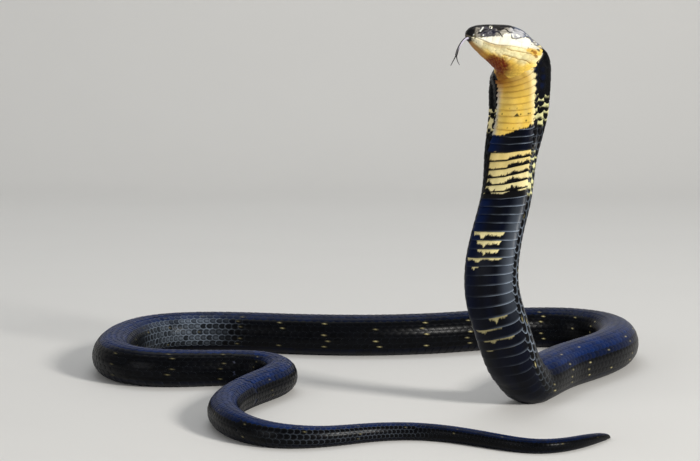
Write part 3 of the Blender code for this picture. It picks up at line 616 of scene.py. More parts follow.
# The skin under the scales, one tube from snout to tail tip, sunk in by the depth of the coat.
def makeSkin():
    p = skin
    snout, last = p["snout"] * (np.arange(1, 9) / 9) ** 1.5, bodyLength - np.array(p["lastRows"])
    front = np.arange(p["snout"], p["fineUntil"], p["fineStep"])
    rear = np.arange(p["fineUntil"], bodyLength - 0.6, p["step"])
    station = np.concatenate([snout, front, rear, last])
    turn = np.arange(p["columns"]) / p["columns"]
    headShare = 1 - smoothStep(station, *p["headEnds"])
    inset = p["inset"] * (1 - headShare) + p["headInset"] * headShare
    inset = np.minimum(inset, p["most"] * lookUp(gridGirth, station) / (2 * math.pi))
    s, t = np.meshgrid(station, turn, indexing="ij")
    points = onSkin(s, t, -inset[:, None] + 0 * t)
    tint = mix("black", "blueBlackAndSheen", 0.3 * np.ones(s.shape))
    throat = within(s, 4.0, 17.0, 0.4) * smoothStep(np.minimum(t, 1 - t), 0.36, 0.38)
    tint = mix(tint, "throatRedAndShadow", throat)
    ends = [points[0].mean(0), points[-1].mean(0)]
    made = tubePiece("skin", points, ends, tint, tubeUv(station, turn), materials["softSkin"])
    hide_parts("hood", "neck", "forebody", *bodyNodes)


makeSkin()


# A patch of rows by columns of corners, its outline square or rounded, with side walls and a floor:
# corners as (x, y, wall), x from root to free edge and y across, both from -1 to 1.
def patchShape(rows, columns, rounded):
    x, y = np.meshgrid(np.linspace(-1, 1, rows), np.linspace(-1, 1, columns), indexing="ij")
    if rounded:
        x, y = x * np.sqrt(1 - y * y / 2), y * np.sqrt(1 - x * x / 2)
    number = np.arange(rows * columns).reshape(rows, columns)
    quads = np.stack([number[:-1, :-1], number[:-1, 1:], number[1:, 1:], number[1:, :-1]], -1).reshape(-1, 4)
    rim = np.concatenate([number[0, :-1], number[:-1, -1], number[-1, :0:-1], number[:0:-1, 0]])
    low = rows * columns + np.arange(len(rim))
    walls = np.stack([np.roll(rim, -1), rim, low, np.roll(low, -1)], -1)
    corners = np.stack([x.ravel(), y.ravel(), np.zeros(x.size)], -1)
    corners = np.concatenate([corners, corners[rim] + [0, 0, 1]])
    return corners, np.concatenate([quads, walls]), low[::-1][None, :]


# Many such patches as one piece: station and turn of each corner, its height, tint and map place.
def patchPiece(name, shape, station, turn, height, tint, uv, material):
    corners, quads, floor = shape
    shift = (np.arange(len(station)) * len(corners))[:, None, None]
    lists = [(quads[None] + shift).reshape(-1, 4), (floor[None] + shift).reshape(-1, floor.shape[1])]
    loops = np.concatenate([f.ravel() for f in lists])
    places = onSkin(station, turn, height).reshape(-1, 3)
    return makePiece(name, places, lists, tint.reshape(-1, 3), uv.reshape(-1, 2)[loops], material, 40)


bodyScales = {
    "shape": 7, "long": 1.36, "wide": 1.16, "root": -0.085, "free": -0.012, "dome": 0.045, "floor": -0.17,
    "vary": 0.008, "taper": 0.22, "curve": 1.3, "fullPitch": 0.9, "from": 5.8, "patch": 0.0017,
    "rows": [(0, 17), (24, 15), (200, 13), (222, 11), (241, 9), (262, 7)],
    "pieces": [(6, 60), (60, 118), (118, 176), (176, 234), (234, 290)],
    # turns from the back's middle and the station where the scales begin there
    "left": [
        (0, 7), (0.1, 7.3), (0.15, 7.8), (0.2, 8.15), (0.24, 8.45), (0.29, 8.75), (0.34, 9.4),
        (0.375, 10.2), (0.385, 30),
    ],
    "right": [(0, 7), (0.1, 7.1), (0.2, 7.2), (0.25, 7.3), (0.41, 7.6), (0.43, 8), (0.44, 30)],
}


# The station where the black of the nape and hood begins, by how far round to the belly.
def flankFrom(side, left):
    return np.where(left > 0, between(side, bodyScales["left"]), between(side, bodyScales["right"]))


# Root places of the back and side scales: rows along the body between the belly's edges, every
# other row half a pitch on. One line each: station, turn, gap, number along, row, rows from the edge.
def scaleRoots():
    found = []
    ends = [row[0] for row in bodyScales["rows"][1:]] + [bodyLength - 0.5]
    for (start, rows), end in zip(bodyScales["rows"], ends):
        steps = np.array(pitchSteps(max(start, bodyScales["from"]), end, 0.5))
        for j in range(rows):
            s = steps + (0.5 if (j - rows // 2) % 2 else 0.0) * scutePitch(steps)
            half, middle = scuteSpan(s)
            gap = (1 - 2 * half) / rows
            t = (middle + half + (j + 0.5) * gap) % 1.0
            keep = s > flankFrom(np.minimum(t, 1 - t), np.where(t < 0.5, 1, -1)) - 0.3
            order, row, edgeRow = np.arange(len(s)), np.full(len(s), j), np.full(len(s), min(j, rows - 1 - j))
            found.append(np.stack([s, t, gap, order, row, edgeRow], -1)[keep])
    return np.concatenate(found)


scalePaint = {
    # painted sky reflection, blue on the tops of the coils: station, its share, how far down the sides it
    # reaches in turns
    "skyReflectionOnTops": [
        (50, 0, 0.2), (58, 0.7, 0.23), (80, 0.7, 0.22), (92, 0.25, 0.15), (132, 0.2, 0.12), (150, 0.5, 0.15),
        (165, 0.6, 0.16), (179, 0.8, 0.16), (185, 0.45, 0.1), (200, 0.4, 0.09), (206, 0.6, 0.15),
        (214, 0.85, 0.21), (234, 0.8, 0.19), (245, 0.5, 0.13), (260, 0.3, 0.12),
    ],
    # share of painted blue sheen over the black of the coils' tops, by station
    "blueSheenOnBack": [(46, 0), (56, 1), (78, 1), (92, 0.25), (148, 0.25), (166, 1), (300, 1)],
    # shares of pale rims beside the belly, partly painted highlight, and of the specks that lie in rows across
    # the back
    "rimsAndGlintsByBelly": [(15, 0), (17, 0.2), (26, 0.4), (38, 0.65), (44, 0.55), (49, 0.15), (54, 0)],
    "specks": [(120, 1), (150, 0.3), (240, 0.3)], "speckEvery": 6.3, "specksFrom": (26, 30),
    # from, to and fade along the body: cores of painted blue glint and yellow teeth beside the belly, nets of
    # painted glints
    "cores": (8, 13, 1.0), "teeth": (8.8, 12.8, 0.3),
    "farLoop": (150, 166, 5.0), "farMost": (151, 158, 2.0), "farSides": (0.09, 0.32, 0.05),
    "tail": (246, 262, 4.0), "tailSides": (0.05, 0.32, 0.05),
}


# Tint over one scale: black on the back with a painted blue reflection of the sky on the coils' tops, cream
# with black rears in the flank bands, one line of cream specks across the back in every band, pale edges beside
# the belly that are partly painted highlight, and painted blue and grey glints.
def scaleTint(root, x, y):
    p = scalePaint
    s, t, _, k, j, edgeRow = (root[:, i : i + 1] for i in range(6))
    side, onLeft, fromMiddle = np.minimum(t, 1 - t), t < 0.5, np.hypot(x, y)
    # painted reflection: sky blue and blue sheen on the tops of the coils, fading down the sides
    share, reach = (between(s, p["skyReflectionOnTops"], i) for i in (1, 2))
    upward = 1 - smoothStep(side, 0.35 * reach, reach)
    tint = mix("black", "blueBlackAndSheen", upward * between(s, p["blueSheenOnBack"]) + 0 * x)
    tint = mix(tint, "paintedSkyReflection", share * upward + 0 * x)
    # painted glints: the middles of the scales beside the belly at the hood's edge turn blue, and grey where
    # the nets of glints lie
    core = (1 - smoothStep(fromMiddle, 0.1, 0.9)) * (0.55 + 0.45 * scatter(k, j, 31))
    tint = mix(tint, "blueBlackAndSheen", 0.6 * core * within(s, *p["cores"]) * onLeft * (edgeRow < 1.5))
    tint = tint * (0.75 + 0.25 * scatter(k, j, 3))[..., None]

    # pale rims, partly painted highlight: a chain beside the belly, stronger on the animal's left, and nets of
    # painted glints on the far left loop and near the tail
    beside = between(s, p["rimsAndGlintsByBelly"]) * np.where(onLeft, 1.0, 0.4) * (1 - smoothStep(edgeRow, 1.5, 4.0))
    farLoop = (0.62 + 0.25 * within(s, *p["farMost"])) * within(s, *p["farLoop"])
    glint = farLoop * within(side, *p["farSides"])
    glint = glint + 0.15 * within(s, *p["tail"]) * within(side, *p["tailSides"])
    tint = mix(tint, "paleEdgeAndGlint", 0.7 * core * np.maximum(glint - 0.2, 0))
    rim = np.clip((beside + glint + 0.01) * (0.7 + 0.3 * scatter(k, j, 8)), 0, 1)
    tint = mix(tint, "paleEdgeAndGlint", smoothStep(fromMiddle, 0.74, 0.98) * rim)

    # the flank bands, narrow on the back and whole beside the belly
    band, flank = np.zeros(s.shape), smoothStep(side, 0.05, 0.24)
    for name, here in (("left", onLeft), ("right", ~onLeft)):
        for a, b in bands[name]:
            middle, half = (a + b) / 2, (b - a) / 2
            band = np.maximum(band, here * within(s, middle - half * flank, middle + half * flank, 0.12))
    cream = mix("cream", "paleYellow", 0.5 + 0.5 * scatter(k, j, 5) + 0 * x)
    cream = mix(cream, "sage", 0.8 * onLeft * (edgeRow < 2.5) + 0 * x)
    dark = smoothStep(x + 0.45 * scatter(k, j, 1) + 0.25 * np.abs(y) * scatter(k, j, 2), -0.3, -0.05)
    dark = np.where(scatter(k, j, 4) > 0.92, 0.0, dark)
    tint = mix(tint, cream, band * (1 - dark))

    speck = np.mod(s - 2.0, p["speckEvery"]) < scutePitch(s)
    spot = speck * (1 - smoothStep(np.hypot((x - 0.35) / 0.4, y / 0.3), 0.6, 1.0))
    spot = spot * (scatter(k, j, 6) > -0.35 + 0.9 * upward) * (0.7 + 0.3 * scatter(k, j, 7))
    tint = mix(tint, "cream", 0.85 * spot * smoothStep(s, *p["specksFrom"]) * between(s, p["specks"]))
    # on the left the yellow of the belly bites into the first row in teeth
    nearYellow = (edgeRow < 0.5) * onLeft * within(s, *p["teeth"])
    return mix(tint, "paleYellow", nearYellow * smoothStep(y * 0.9 - np.abs(x + 0.1), -0.15, 0.05))


# Each scale from its root: longer than the pitch and wider than the gap, so it overlaps the next,
# narrower towards the tip, rising along its length and domed by (1 - x squared)(1 - y squared).
def makeBodyScales():
    form, roots = bodyScales, scaleRoots()
    shape = patchShape(form["shape"], form["shape"], True)
    x, y, wall = shape[0].T[:, None, :]
    for number, (start, end) in enumerate(form["pieces"], 1):
        root = roots[(roots[:, 0] >= start) & (roots[:, 0] < end)]
        s, t, gap, k, j = (root[:, i : i + 1] for i in range(5))
        pitch, (half, _) = scutePitch(s), scuteSpan(s)
        toBelly = np.minimum(np.minimum(t, 1 - t) / (0.5 - half), 1)
        lag = scuteSkew(s, np.where(t < 0.5, -1.0, 1.0) * toBelly**2)
        station = s + lag + pitch * (0.5 + 0.5 * form["long"] * x)
        turn = t + 0.5 * gap * form["wide"] * y * (1 - form["taper"] * np.maximum(x, 0) ** 2)
        small = np.minimum(1, pitch / form["fullPitch"])
        height = form["root"] + (form["free"] - form["root"]) * ((x + 1) / 2) ** form["curve"]
        dome = form["dome"] * np.maximum(0, 1 - x * x) * np.maximum(0, 1 - y * y)
        height = (height + dome + form["vary"] * scatter(k, j, 11)) * small
        height = np.where(wall > 0, form["floor"] * np.minimum(1, small + 0.2), height)
        uv = np.stack([(s - start) / (end - start + 2) + 0 * x, t + 0 * x], -1)
        uv = np.clip(uv, 0.002, 0.998) + np.stack([x, y], -1) * form["patch"]
        name, tint = f"bodyScales_{number}", scaleTint(root, x, y)
        made = patchPiece(name, shape, station, turn, height, tint, uv, materials["scaleGloss"])


makeBodyScales()

bellyScutes = {
    "from": 9.43, "fineUntil": 54.0, "long": 1.14, "front": -0.06, "rear": 0.078, "lyingRear": -0.004,
    "floor": -0.17, "over": 0.008, "edgesForward": 0.22, "edgesDown": 0.07, "uneven": 0.006,
    "curve": 1.25, "fullPitch": 0.9, "lastEnds": 288.0, "lies": (50, 57),
    "fineShape": (11, 81), "plainShape": (6, 23),  # corners along and across
}


# Stations where one belly scute ends and the next begins.
def scuteEdges():
    found = pitchSteps(bellyScutes["from"], bellyScutes["lastEnds"])
    return np.array(found + [found[-1] + scutePitch(found[-1])])


# Height from 0 to 1 of ragged teeth across a scute: a saw of uneven teeth, each its own height.
def teeth(y, many, seed):
    along = y * many + seed * 3.7
    tooth = np.floor(along)
    at = along - tooth
    peak = 0.5 + 0.3 * scatter(tooth, seed)
    saw = np.where(at < peak, at / peak, (1 - at) / (1 - peak))
    return saw * (0.55 + 0.45 * scatter(tooth, seed, 9))


# The black of the belly, with a painted blue reflection on the animal's right, pale free edges that are painted
# highlights, and a painted sheen.
def blackBelly(k, s, f, y, picture):
    p = bands
    blue = 0.8 * smoothStep(-picture, *p["blueLeft"]) * between(s, p["blue"])
    blue = blue + 0.05 + 0.05 * wander(y * 3, k * 0.4, 2)
    black = mix("black", "blueBlackAndSheen", np.clip(blue, 0, 1)) + 0 * f[..., None]
    # painted highlight: the free edges pale, brighter towards the picture's right, fading along the body
    edge = 0.07 + 0.85 * smoothStep(picture, *p["highlightRight"]) ** 1.4
    edge = edge * (0.72 + 0.28 * wander(y * 5, k, 7))
    black = mix(black, "paleEdgeAndGlint", edge * between(s, p["edgeHighlights"]) * smoothStep(f, 0.88, 0.95))
    # a painted sheen: a faint grey strip towards the picture's right of the black scutes
    return mix(black, "paleEdgeAndGlint", 0.16 * within(picture, *p["sheenRight"]) * within(s, *p["sheen"]))


# The yellow of throat and chest: pale at the ends, greyed on the picture's left by painted shade, orange and
# red under the jaw, partly painted shadow and stronger on the picture's left, with brown free edges and a few
# dark specks.
def yellowBelly(k, s, f, y, picture, near):
    p = bands
    ends = smoothStep(-picture, *p["leftPale"]) + 0.9 * smoothStep(picture, *p["rightPale"])
    pale = np.clip(0.06 + 0.95 * ends + 0.15 * wander(y * 4, near * 0.6, 3), 0, 1)
    yellow = mix("yellow", "paleYellow", pale)
    # painted shade: grey on the picture's left, then orange and red under the jaw
    grey = 0.75 * smoothStep(-picture, *p["shadeLeft"]) * smoothStep(near, *p["greyFrom"])
    yellow = mix(yellow, palette["rose"] * 0.85, grey)
    orange = smoothStep(near, *p["orange"]) * (0.38 + 0.62 * smoothStep(-picture, *p["orangeLeft"]))
    yellow = mix(yellow, "throatOrange", 0.9 * orange * (1 - 0.8 * smoothStep(picture, 0.6, 0.95)))
    red = smoothStep(near, *p["red"]) * smoothStep(-picture, *p["redLeft"])
    yellow = mix(yellow, "throatRedAndShadow", 0.85 * red * (0.8 + 0.2 * wander(y * 7, near, 4)))
    line = smoothStep(f, 0.86, 0.95) * (0.5 - 0.25 * smoothStep(s, *p["linesFade"]))
    yellow = mix(yellow, "throatRedAndShadow", line * (0.8 + 0.2 * wander(y * 9, k, 5)))
    across = y * p["dotsAcross"]
    dots = scatter(np.floor(across), k, 12) > 0.72 - 0.25 * smoothStep(s, *p["moreDots"])
    inDot = 1 - smoothStep(np.hypot((np.mod(across, 1) - 0.5) / 0.45, (0.76 - f) / 0.16), 0.7, 1.0)
    return mix(yellow, "suture", 0.85 * dots * within(s, *p["dots"]) * inDot)


# Tint over the belly scutes: f from front edge to free edge, y across with the animal's right at 1.
def scuteTint(k, s, f, y):
    picture = -y  # across as the front view shows it, left to right
    near, rear, front = s + (f - 0.5) * scutePitch(s), 1 - f, s - 0.5 * scutePitch(s)
    saw, fineSaw = teeth(y, 9.0, k), teeth(y, 17.0, k + 40)
    cream = mix("cream", "paleYellow", 0.5 + 0.5 * wander(y * 5, k, 6)) * np.ones(f.shape + (1,))
    cream = mix(cream, "yellow", 0.45 * (1 - smoothStep(s, *bands["creamFades"])))

    # the throat and chest: yellow, black where the first band starts, aslant
    starts = between(picture, bands["yellowEnds"]) + 0.16 * wander(y * 7, 1, 8)
    starts = starts + 0.22 * (teeth(y, 12, 3) - 0.3)
    chest = 1 - smoothStep(near, starts - 0.04, starts + 0.04)
    tint = mix(blackBelly(k, s, f, y, picture), yellowBelly(k, s, f, y, picture, near), chest)
    station, middle = bands["tooth"]
    slopes = np.abs(picture - middle) * 4.5 + rear
    tooth = (np.abs(s - station) < 0.5) * (1 - smoothStep(slopes, 0.42, 0.5))
    tint = mix(tint, "suture", 0.9 * tooth)

    # the cream band: dark teeth rise from each free edge, deeper on the rows further back
    start, end = bands["cream"]
    later, inBand = smoothStep(s, start + 0.6, end - 1.0), within(near, start, end, 0.05)
    patchy = 0.5 + 0.5 * wander(y * 4.5, k, 18)
    left = bump(picture, -0.72 + 0.06 * scatter(k, 19), 0.15) * (0.15 + 0.65 * later) * (0.7 + 0.5 * fineSaw)
    middle = within(picture, -0.45, 0.12, 0.05) * (0.03 + (0.2 + 0.4 * later) * saw * patchy)
    right = within(picture, 0.1, 0.95, 0.06) * (0.08 + 0.34 * patchy + 0.3 * fineSaw)
    right = right * (1 - 0.6 * later * smoothStep(picture, 0.5, 0.7))
    right = right + 0.35 * later * bump(picture, 0.36, 0.05)
    depth = 0.09 + np.maximum(np.maximum(left, middle), right) + 0.56 * (s > end - 0.7)
    fromEdge = picture + 0.05 * scatter(k, 22) - between(s, bands["creamFrom"])
    tint = mix(tint, "suture", inBand)
    isCream = inBand * (1 - smoothStep(depth - rear, -0.03, 0.03)) * smoothStep(fromEdge, -0.03, 0.03)
    tint = mix(tint, cream, isCream)

    # ragged patches at the front of single scutes, one tongue of each longer
    ragged = 0.45 + 0.5 * (0.5 + 0.5 * wander(y * 6, k, 23)) - 0.25 * saw - 0.4 * fineSaw
    for at, low, high, long in bands["patches"]:
        share = (picture - low) / (high - low)
        reach = long * ragged + 0.75 * long * bump(share, 0.36, 0.08)
        reach = reach * smoothStep(share, -0.02, 0.08) * (1 - smoothStep(share, 0.92, 1.02))
        patch = (np.abs(front - at) < 0.3) * (1 - smoothStep(f - 0.12 - reach, -0.03, 0.03))
        tint = mix(tint, cream * (1 - 0.5 * (at > 39)), patch * within(share, 0.0, 1.0, 0.02))
    return tint * (1 + 0.1 * wander(y * 6, k, 1) + 0.05 * scatter(k))[..., None]


# Each scute longer than its pitch, from under the one before, rising to its free rear edge and
# turned down at both ends by the tenth power of y.
def makeBellyScutes():
    form, edges = bellyScutes, scuteEdges()
    front, rear = edges[:-1, None], edges[1:, None]
    isFine = edges[1:] < form["fineUntil"]
    for name, keep, size in (
        ("bellyScutes_front", isFine, form["fineShape"]),
        ("bellyScutes_rear", ~isFine, form["plainShape"]),
    ):
        shape = patchShape(*size, False)
        x, y, wall = shape[0].T[:, None, :]
        a, b = front[keep], rear[keep]
        long, f, k = b - a, (x + 1) / 2, np.round((a + b) / 2 * 7)
        station = b - long * form["long"] * (1 - f) - form["edgesForward"] * long * np.abs(y) ** 6
        half, middle = scuteSpan(station)
        turn = middle + y * (half + form["over"])
        station = station + scuteSkew(b, y)
        lying = smoothStep(b, *form["lies"])
        top = form["rear"] * (1 - lying) + form["lyingRear"] * lying
        height = form["front"] + (top - form["front"]) * f ** form["curve"]
        height = height - form["edgesDown"] * np.abs(y) ** 10 + form["uneven"] * wander(y * 9, k + f * 2, 15)
        height = height * np.minimum(1, long / form["fullPitch"])
        height = np.where(wall > 0, form["floor"] * np.minimum(1, long), height)
        order = np.arange(len(a))[:, None]
        uv = np.stack([(order + 0.04 + 0.92 * f) / len(a), 0.02 + 0.96 * (y + 1) / 2 + 0 * a], -1)
        tint = scuteTint(k, (a + b) / 2, f + 0 * a, y + 0 * a)
        made = patchPiece(name, shape, station, turn, height, tint, uv, materials["scuteGloss"])


makeBellyScutes()

# The plates of the head: station, turn share q from the back's middle (0) to the mouth (1), radius
# along and across in cm, mirrored on the other side. On the lower jaw q runs from the throat's
# middle (0) up to the mouth (1).
headPlates = {
    "rows": 215, "columns": 412, "ends": 9.6, "base": -0.02, "across": 3.8, "below": 2.6,
    "groove": 0.035, "grooveWide": 0.09, "swell": 0.02, "lip": 0.03, "brow": 0.035, "fold": (0.035, 0.06),
    "mouthDeep": 0.1, "mouthWide": 0.05, "mouthEnds": (6.3, 7.4), "socketDeep": 0.3, "nostrilDeep": 0.1,
    "snout": 0.4, "snoutRows": 21, "endSinks": 0.06, "napeSinks": 0.1,
    # how far from the line of mouth, eye or fold each ridge stands, and half its width
    "lipAt": (0.16, 0.12), "browAt": (0.05, 0.07), "rollAt": (0.22, 0.13), "grooveAt": (0, 0.08),
    "top": [
        # snout and crown
        (0.02, 0.45, 0.36, 1.1), (0.02, 0.95, 0.34, 0.5), (0.62, 0.2, 0.28, 0.48), (1.22, 0.2, 0.4, 0.55),
        (2.25, 0, 0.8, 0.52), (2.35, 0.29, 0.78, 0.34), (3.95, 0.19, 1.1, 0.78), (5.75, 0.18, 0.9, 0.75),
        # about the nostril, behind the eye, and the temple
        (0.58, 0.58, 0.26, 0.42), (1.02, 0.57, 0.24, 0.42), (1.58, 0.52, 0.36, 0.4), (3.15, 0.42, 0.3, 0.25),
        (3.25, 0.55, 0.28, 0.24), (2.95, 0.67, 0.32, 0.2), (4.1, 0.5, 0.72, 0.38), (4.05, 0.66, 0.66, 0.34),
        (5.45, 0.47, 0.66, 0.36), (5.4, 0.62, 0.64, 0.34), (5.6, 0.77, 0.6, 0.32),
        # the upper lip
        (0.5, 0.86, 0.26, 0.46), (1.02, 0.85, 0.3, 0.48), (1.62, 0.84, 0.34, 0.5), (2.3, 0.84, 0.4, 0.52),
        (3.12, 0.85, 0.48, 0.5), (4.12, 0.87, 0.58, 0.46), (5.3, 0.92, 0.7, 0.44),
        # from the temple to the neck
        (6.85, 0.1, 0.4, 0.45, "nape"), (6.75, 0.33, 0.4, 0.42), (6.7, 0.53, 0.38, 0.34),
        (6.55, 0.7, 0.36, 0.3), (6.5, 0.86, 0.36, 0.3), (7.45, 0.45, 0.36, 0.36), (7.35, 0.63, 0.34, 0.32),
        (7.25, 0.8, 0.34, 0.32), (7.25, 0.96, 0.32, 0.26), (8, 0.9, 0.34, 0.32),
        (8.05, 0.72, 0.34, 0.34, "nape"), (8.8, 0.93, 0.4, 0.34), (8.5, 0.45, 0.7, 0.9, "nape"),
        (8.2, 0.1, 0.7, 0.9, "nape"), (7.5, 0.2, 0.4, 0.5, "nape"),
    ],
    "low": [
        # chin, lower lip and chin shields
        (0.05, 0.1, 0.34, 0.5), (0.38, 0.82, 0.25, 0.45), (0.88, 0.82, 0.27, 0.46), (1.42, 0.83, 0.3, 0.46),
        (2.02, 0.84, 0.34, 0.46), (2.75, 0.85, 0.4, 0.46), (3.6, 0.86, 0.46, 0.44), (4.55, 0.87, 0.5, 0.42),
        (5.6, 0.88, 0.55, 0.42), (1.2, 0.27, 0.62, 0.48), (2.45, 0.27, 0.62, 0.48),
    ],
}


# The soft scales of the throat behind the chin plates, as a staggered lattice.
def throatLattice():
    found = []
    for row, s in enumerate(np.arange(3.35, 10.0, 0.52)):
        for w in np.arange(0.0 if row % 2 else 0.085, 0.99, 0.17):
            if s > 6.2 or w < 0.78:
                found.append((s, w, 0.34, 0.27, "throat"))
    return found


# Nearest and next nearest plate at each place: distance is an ellipse's, shares of each plate's
# radii, so big plates reach further. Gives the plate and how far the border is, in cm.
def plateAt(station, sideways, seeds, spread):
    nearest = np.full(station.shape, 99.0)
    second = nearest.copy()
    which = np.zeros(station.shape, int)
    for number, (s, q, long, wide, *_) in enumerate(seeds):
        for mirror in (1, -1) if q > 0 else (1,):
            d = np.hypot((station - s) / long, (sideways - mirror * q * spread) / wide)
            second = np.where(d < nearest, nearest, np.minimum(second, d))
            which = np.where(d < nearest, number, which)
            nearest = np.minimum(nearest, d)
    size = np.array([min(row[2:4]) for row in seeds])
    return which, (second - nearest) * 0.5 * size[which]


# How the head is painted, by station and q: the black crown reaches down to the first line, the
# white lips begin at the second, the face between them changes tone along the head, and marks are
# strokes of a colour and half width through points.
headPaint = {
    "crownTo": [
        (0.3, 0.9), (0.6, 0.8), (0.85, 0.42), (1.7, 0.45), (2.3, 0.44), (2.7, 0.45), (3, 0.51),
        (3.3, 0.57), (3.7, 0.55), (3.95, 0.48), (4.5, 0.44), (4.8, 0.47), (5.4, 0.46), (5.8, 0.44),
        (6.3, 0.48), (6.6, 0.5), (7, 0.5), (7.6, 0.56), (8.4, 0.6), (9.6, 0.6),
    ],
    "whiteFrom": [
        (0.3, 1), (0.6, 1), (1, 0.97), (1.5, 0.91), (2, 0.86), (2.4, 0.81), (2.9, 0.76), (3.5, 0.74),
        (3.8, 0.74), (3.95, 0.68), (4.4, 0.66), (4.7, 0.72), (4.9, 0.8), (5.3, 0.81), (5.7, 0.76),
        (6, 0.72), (6.3, 0.65), (6.6, 0.65), (7, 0.72), (7.5, 0.8), (8.2, 0.86), (9.6, 0.9),
    ],
    "face": [
        (0.55, "plateBrown"), (0.95, "sand"), (1.35, "faceDark"), (2.9, "faceDark"), (3.25, "sand"),
        (4.2, "sand"), (4.75, "rose"), (5.8, "rose"), (6.15, "blueGrey"), (6.9, "faceGrey"),
        (7.5, "sand"), (9.6, "sand"),
    ],
    "marks": [
        ("spotWhite", 0.1, [(1.6, 0.49), (1.48, 0.56), (1.3, 0.64)]),
        ("sand", 0.12, [(0.94, 0.58), (1.18, 0.52)]), ("spotWhite", 0.08, [(1.6, 0.8)]),
        ("spotWhite", 0.07, [(0.52, 0.9)]), ("spotWhite", 0.09, [(4.78, 0.58)]),
        ("spotWhite", 0.1, [(4.78, 0.66), (4.96, 0.74)]),
        ("spotWhite", 0.14, [(5.26, 0.67), (5.5, 0.7)]), ("spotWhite", 0.13, [(6.28, 0.54)]),
        ("spotWhite", 0.1, [(7.24, 0.65)]), ("spotWhite", 0.12, [(7.48, 0.72)]),
        ("suture", 0.07, [(3.7, 0.49), (4.06, 0.52), (4.24, 0.58), (4.48, 0.63), (4.66, 0.62)]),
        ("navy", 0.16, [(2.6, 0.61), (2.8, 0.65)]),
        ("navy", 0.11, [(2.8, 0.64), (3.1, 0.59), (3.34, 0.61)]),
        ("suture", 0.07, [(3.34, 0.62), (3.52, 0.68)]),
        ("plateBrown", 0.05, [(3.52, 0.68), (3.82, 0.76)]),
        ("faceGrey", 0.16, [(2.26, 0.68), (2.44, 0.67)]), ("navy", 0.09, [(2.3, 0.68), (2.46, 0.67)]),
        ("suture", 0.07, [(1.72, 0.57), (2.08, 0.57)]),
        ("suture", 0.09, [(1.06, 0.74), (1.36, 0.7), (1.54, 0.63), (1.84, 0.57)]),
        ("suture", 0.13, [(1.06, 0.75), (1.16, 0.74)]), ("suture", 0.13, [(1.52, 0.63)]),
        ("navy", 0.1, [(1.66, 0.71), (1.9, 0.68)]), ("olive", 0.07, [(1.24, 0.9), (1.48, 0.89)]),
        ("olive", 0.06, [(1, 0.94)]), ("olive", 0.05, [(2.14, 0.82)]),
        ("olive", 0.07, [(0.64, 0.89), (0.72, 1.1)]), ("suture", 0.06, [(0.34, 0.98), (0.46, 0.99)]),
        ("suture", 0.09, [(0.46, 1.7)]), ("olive", 0.06, [(0.94, 1.37)]),
        ("blueGrey", 0.05, [(4.66, 0.69), (4.78, 0.75)]),
        ("olive", 0.06, [(4.78, 0.75), (4.96, 0.79), (5.32, 0.78), (5.56, 0.75), (5.8, 0.72)]),
        ("suture", 0.05, [(5.36, 0.77), (5.56, 0.75), (5.78, 0.72)]),
        ("blueGrey", 0.09, [(6.04, 0.65)]), ("olive", 0.06, [(6.34, 0.66), (6.58, 0.6)]),
        ("blueGrey", 0.08, [(6.76, 0.47)]), ("blueGrey", 0.1, [(6.82, 0.62), (7.06, 0.68)]),
        ("olive", 0.06, [(7.3, 0.53)]), ("olive", 0.06, [(7.12, 0.82)]),
        ("plateBrown", 0.06, [(7.36, 0.79), (7.6, 0.79)]),
        ("blueGrey", 0.08, [(7.54, 0.6), (7.66, 0.72)]), ("suture", 0.12, [(5.74, 0.37), (5.92, 0.42)]),
        ("suture", 0.07, [(5.92, 0.42), (6.12, 0.5)]),
        ("collarYellow", 0.3, [(7.3, 1), (7.66, 1), (8.06, 1.06)]),
        ("collarYellow", 0.2, [(8.1, 0.85), (8.3, 1.02)]),
        ("throatOrange", 0.14, [(7.66, 1), (7.96, 1.04)]),
        ("foldBrown", 0.14, [(8.05, 1.08), (8.32, 1.12)]),
        ("paleYellow", 0.15, [(7.78, 0.8), (7.98, 0.7)]), ("paleYellow", 0.1, [(7.58, 0.92)]),
        ("olive", 0.08, [(7.06, 0.96)]), ("foldBrown", 0.07, [(7.5, 0.98), (7.56, 1.04)]),
        ("olive", 0.1, [(7.84, 0.9), (8.04, 0.93)]), ("suture", 0.1, [(0.2, 1.42), (0.38, 1.86)]),
        ("suture", 0.07, [(0.62, 1.46)]), ("olive", 0.07, [(1.66, 1.53)]),
    ],
    # folds of loose skin at the corner of the jaw, a groove and a roll above it
    "folds": [
        [(4.84, 1.12), (5.62, 1.16), (6.4, 1.13), (7.18, 1.11), (7.72, 1.09)],
        [(4.84, 1.38), (6.1, 1.37), (6.76, 1.36), (7.42, 1.34), (8.14, 1.33), (8.56, 1.35)],
    ],
    "redFrom": [(0, 1.6), (3.6, 1.42), (5.2, 1.42), (6.9, 1.62), (8, 1.82), (9.6, 1.92)],
    # the lower jaw: stations where its painted lip shadow, pale chin, gold, orange (partly painted shade), pale
    # corner (a painted highlight) and red (partly painted shadow) fade
    "shade": (1.8, 4.7, 0.6), "chin": (1.2, 2.0), "gold": (1.0, 3.0), "cheekGold": (7.6, 8.6),
    "orange": (6, 10), "corner": (7.0, 9.6, 0.5), "redStarts": 3.2, "redEnds": (8.8, 9.9),
    "redPales": (7.0, 8.6), "redRight": 1.66,
}


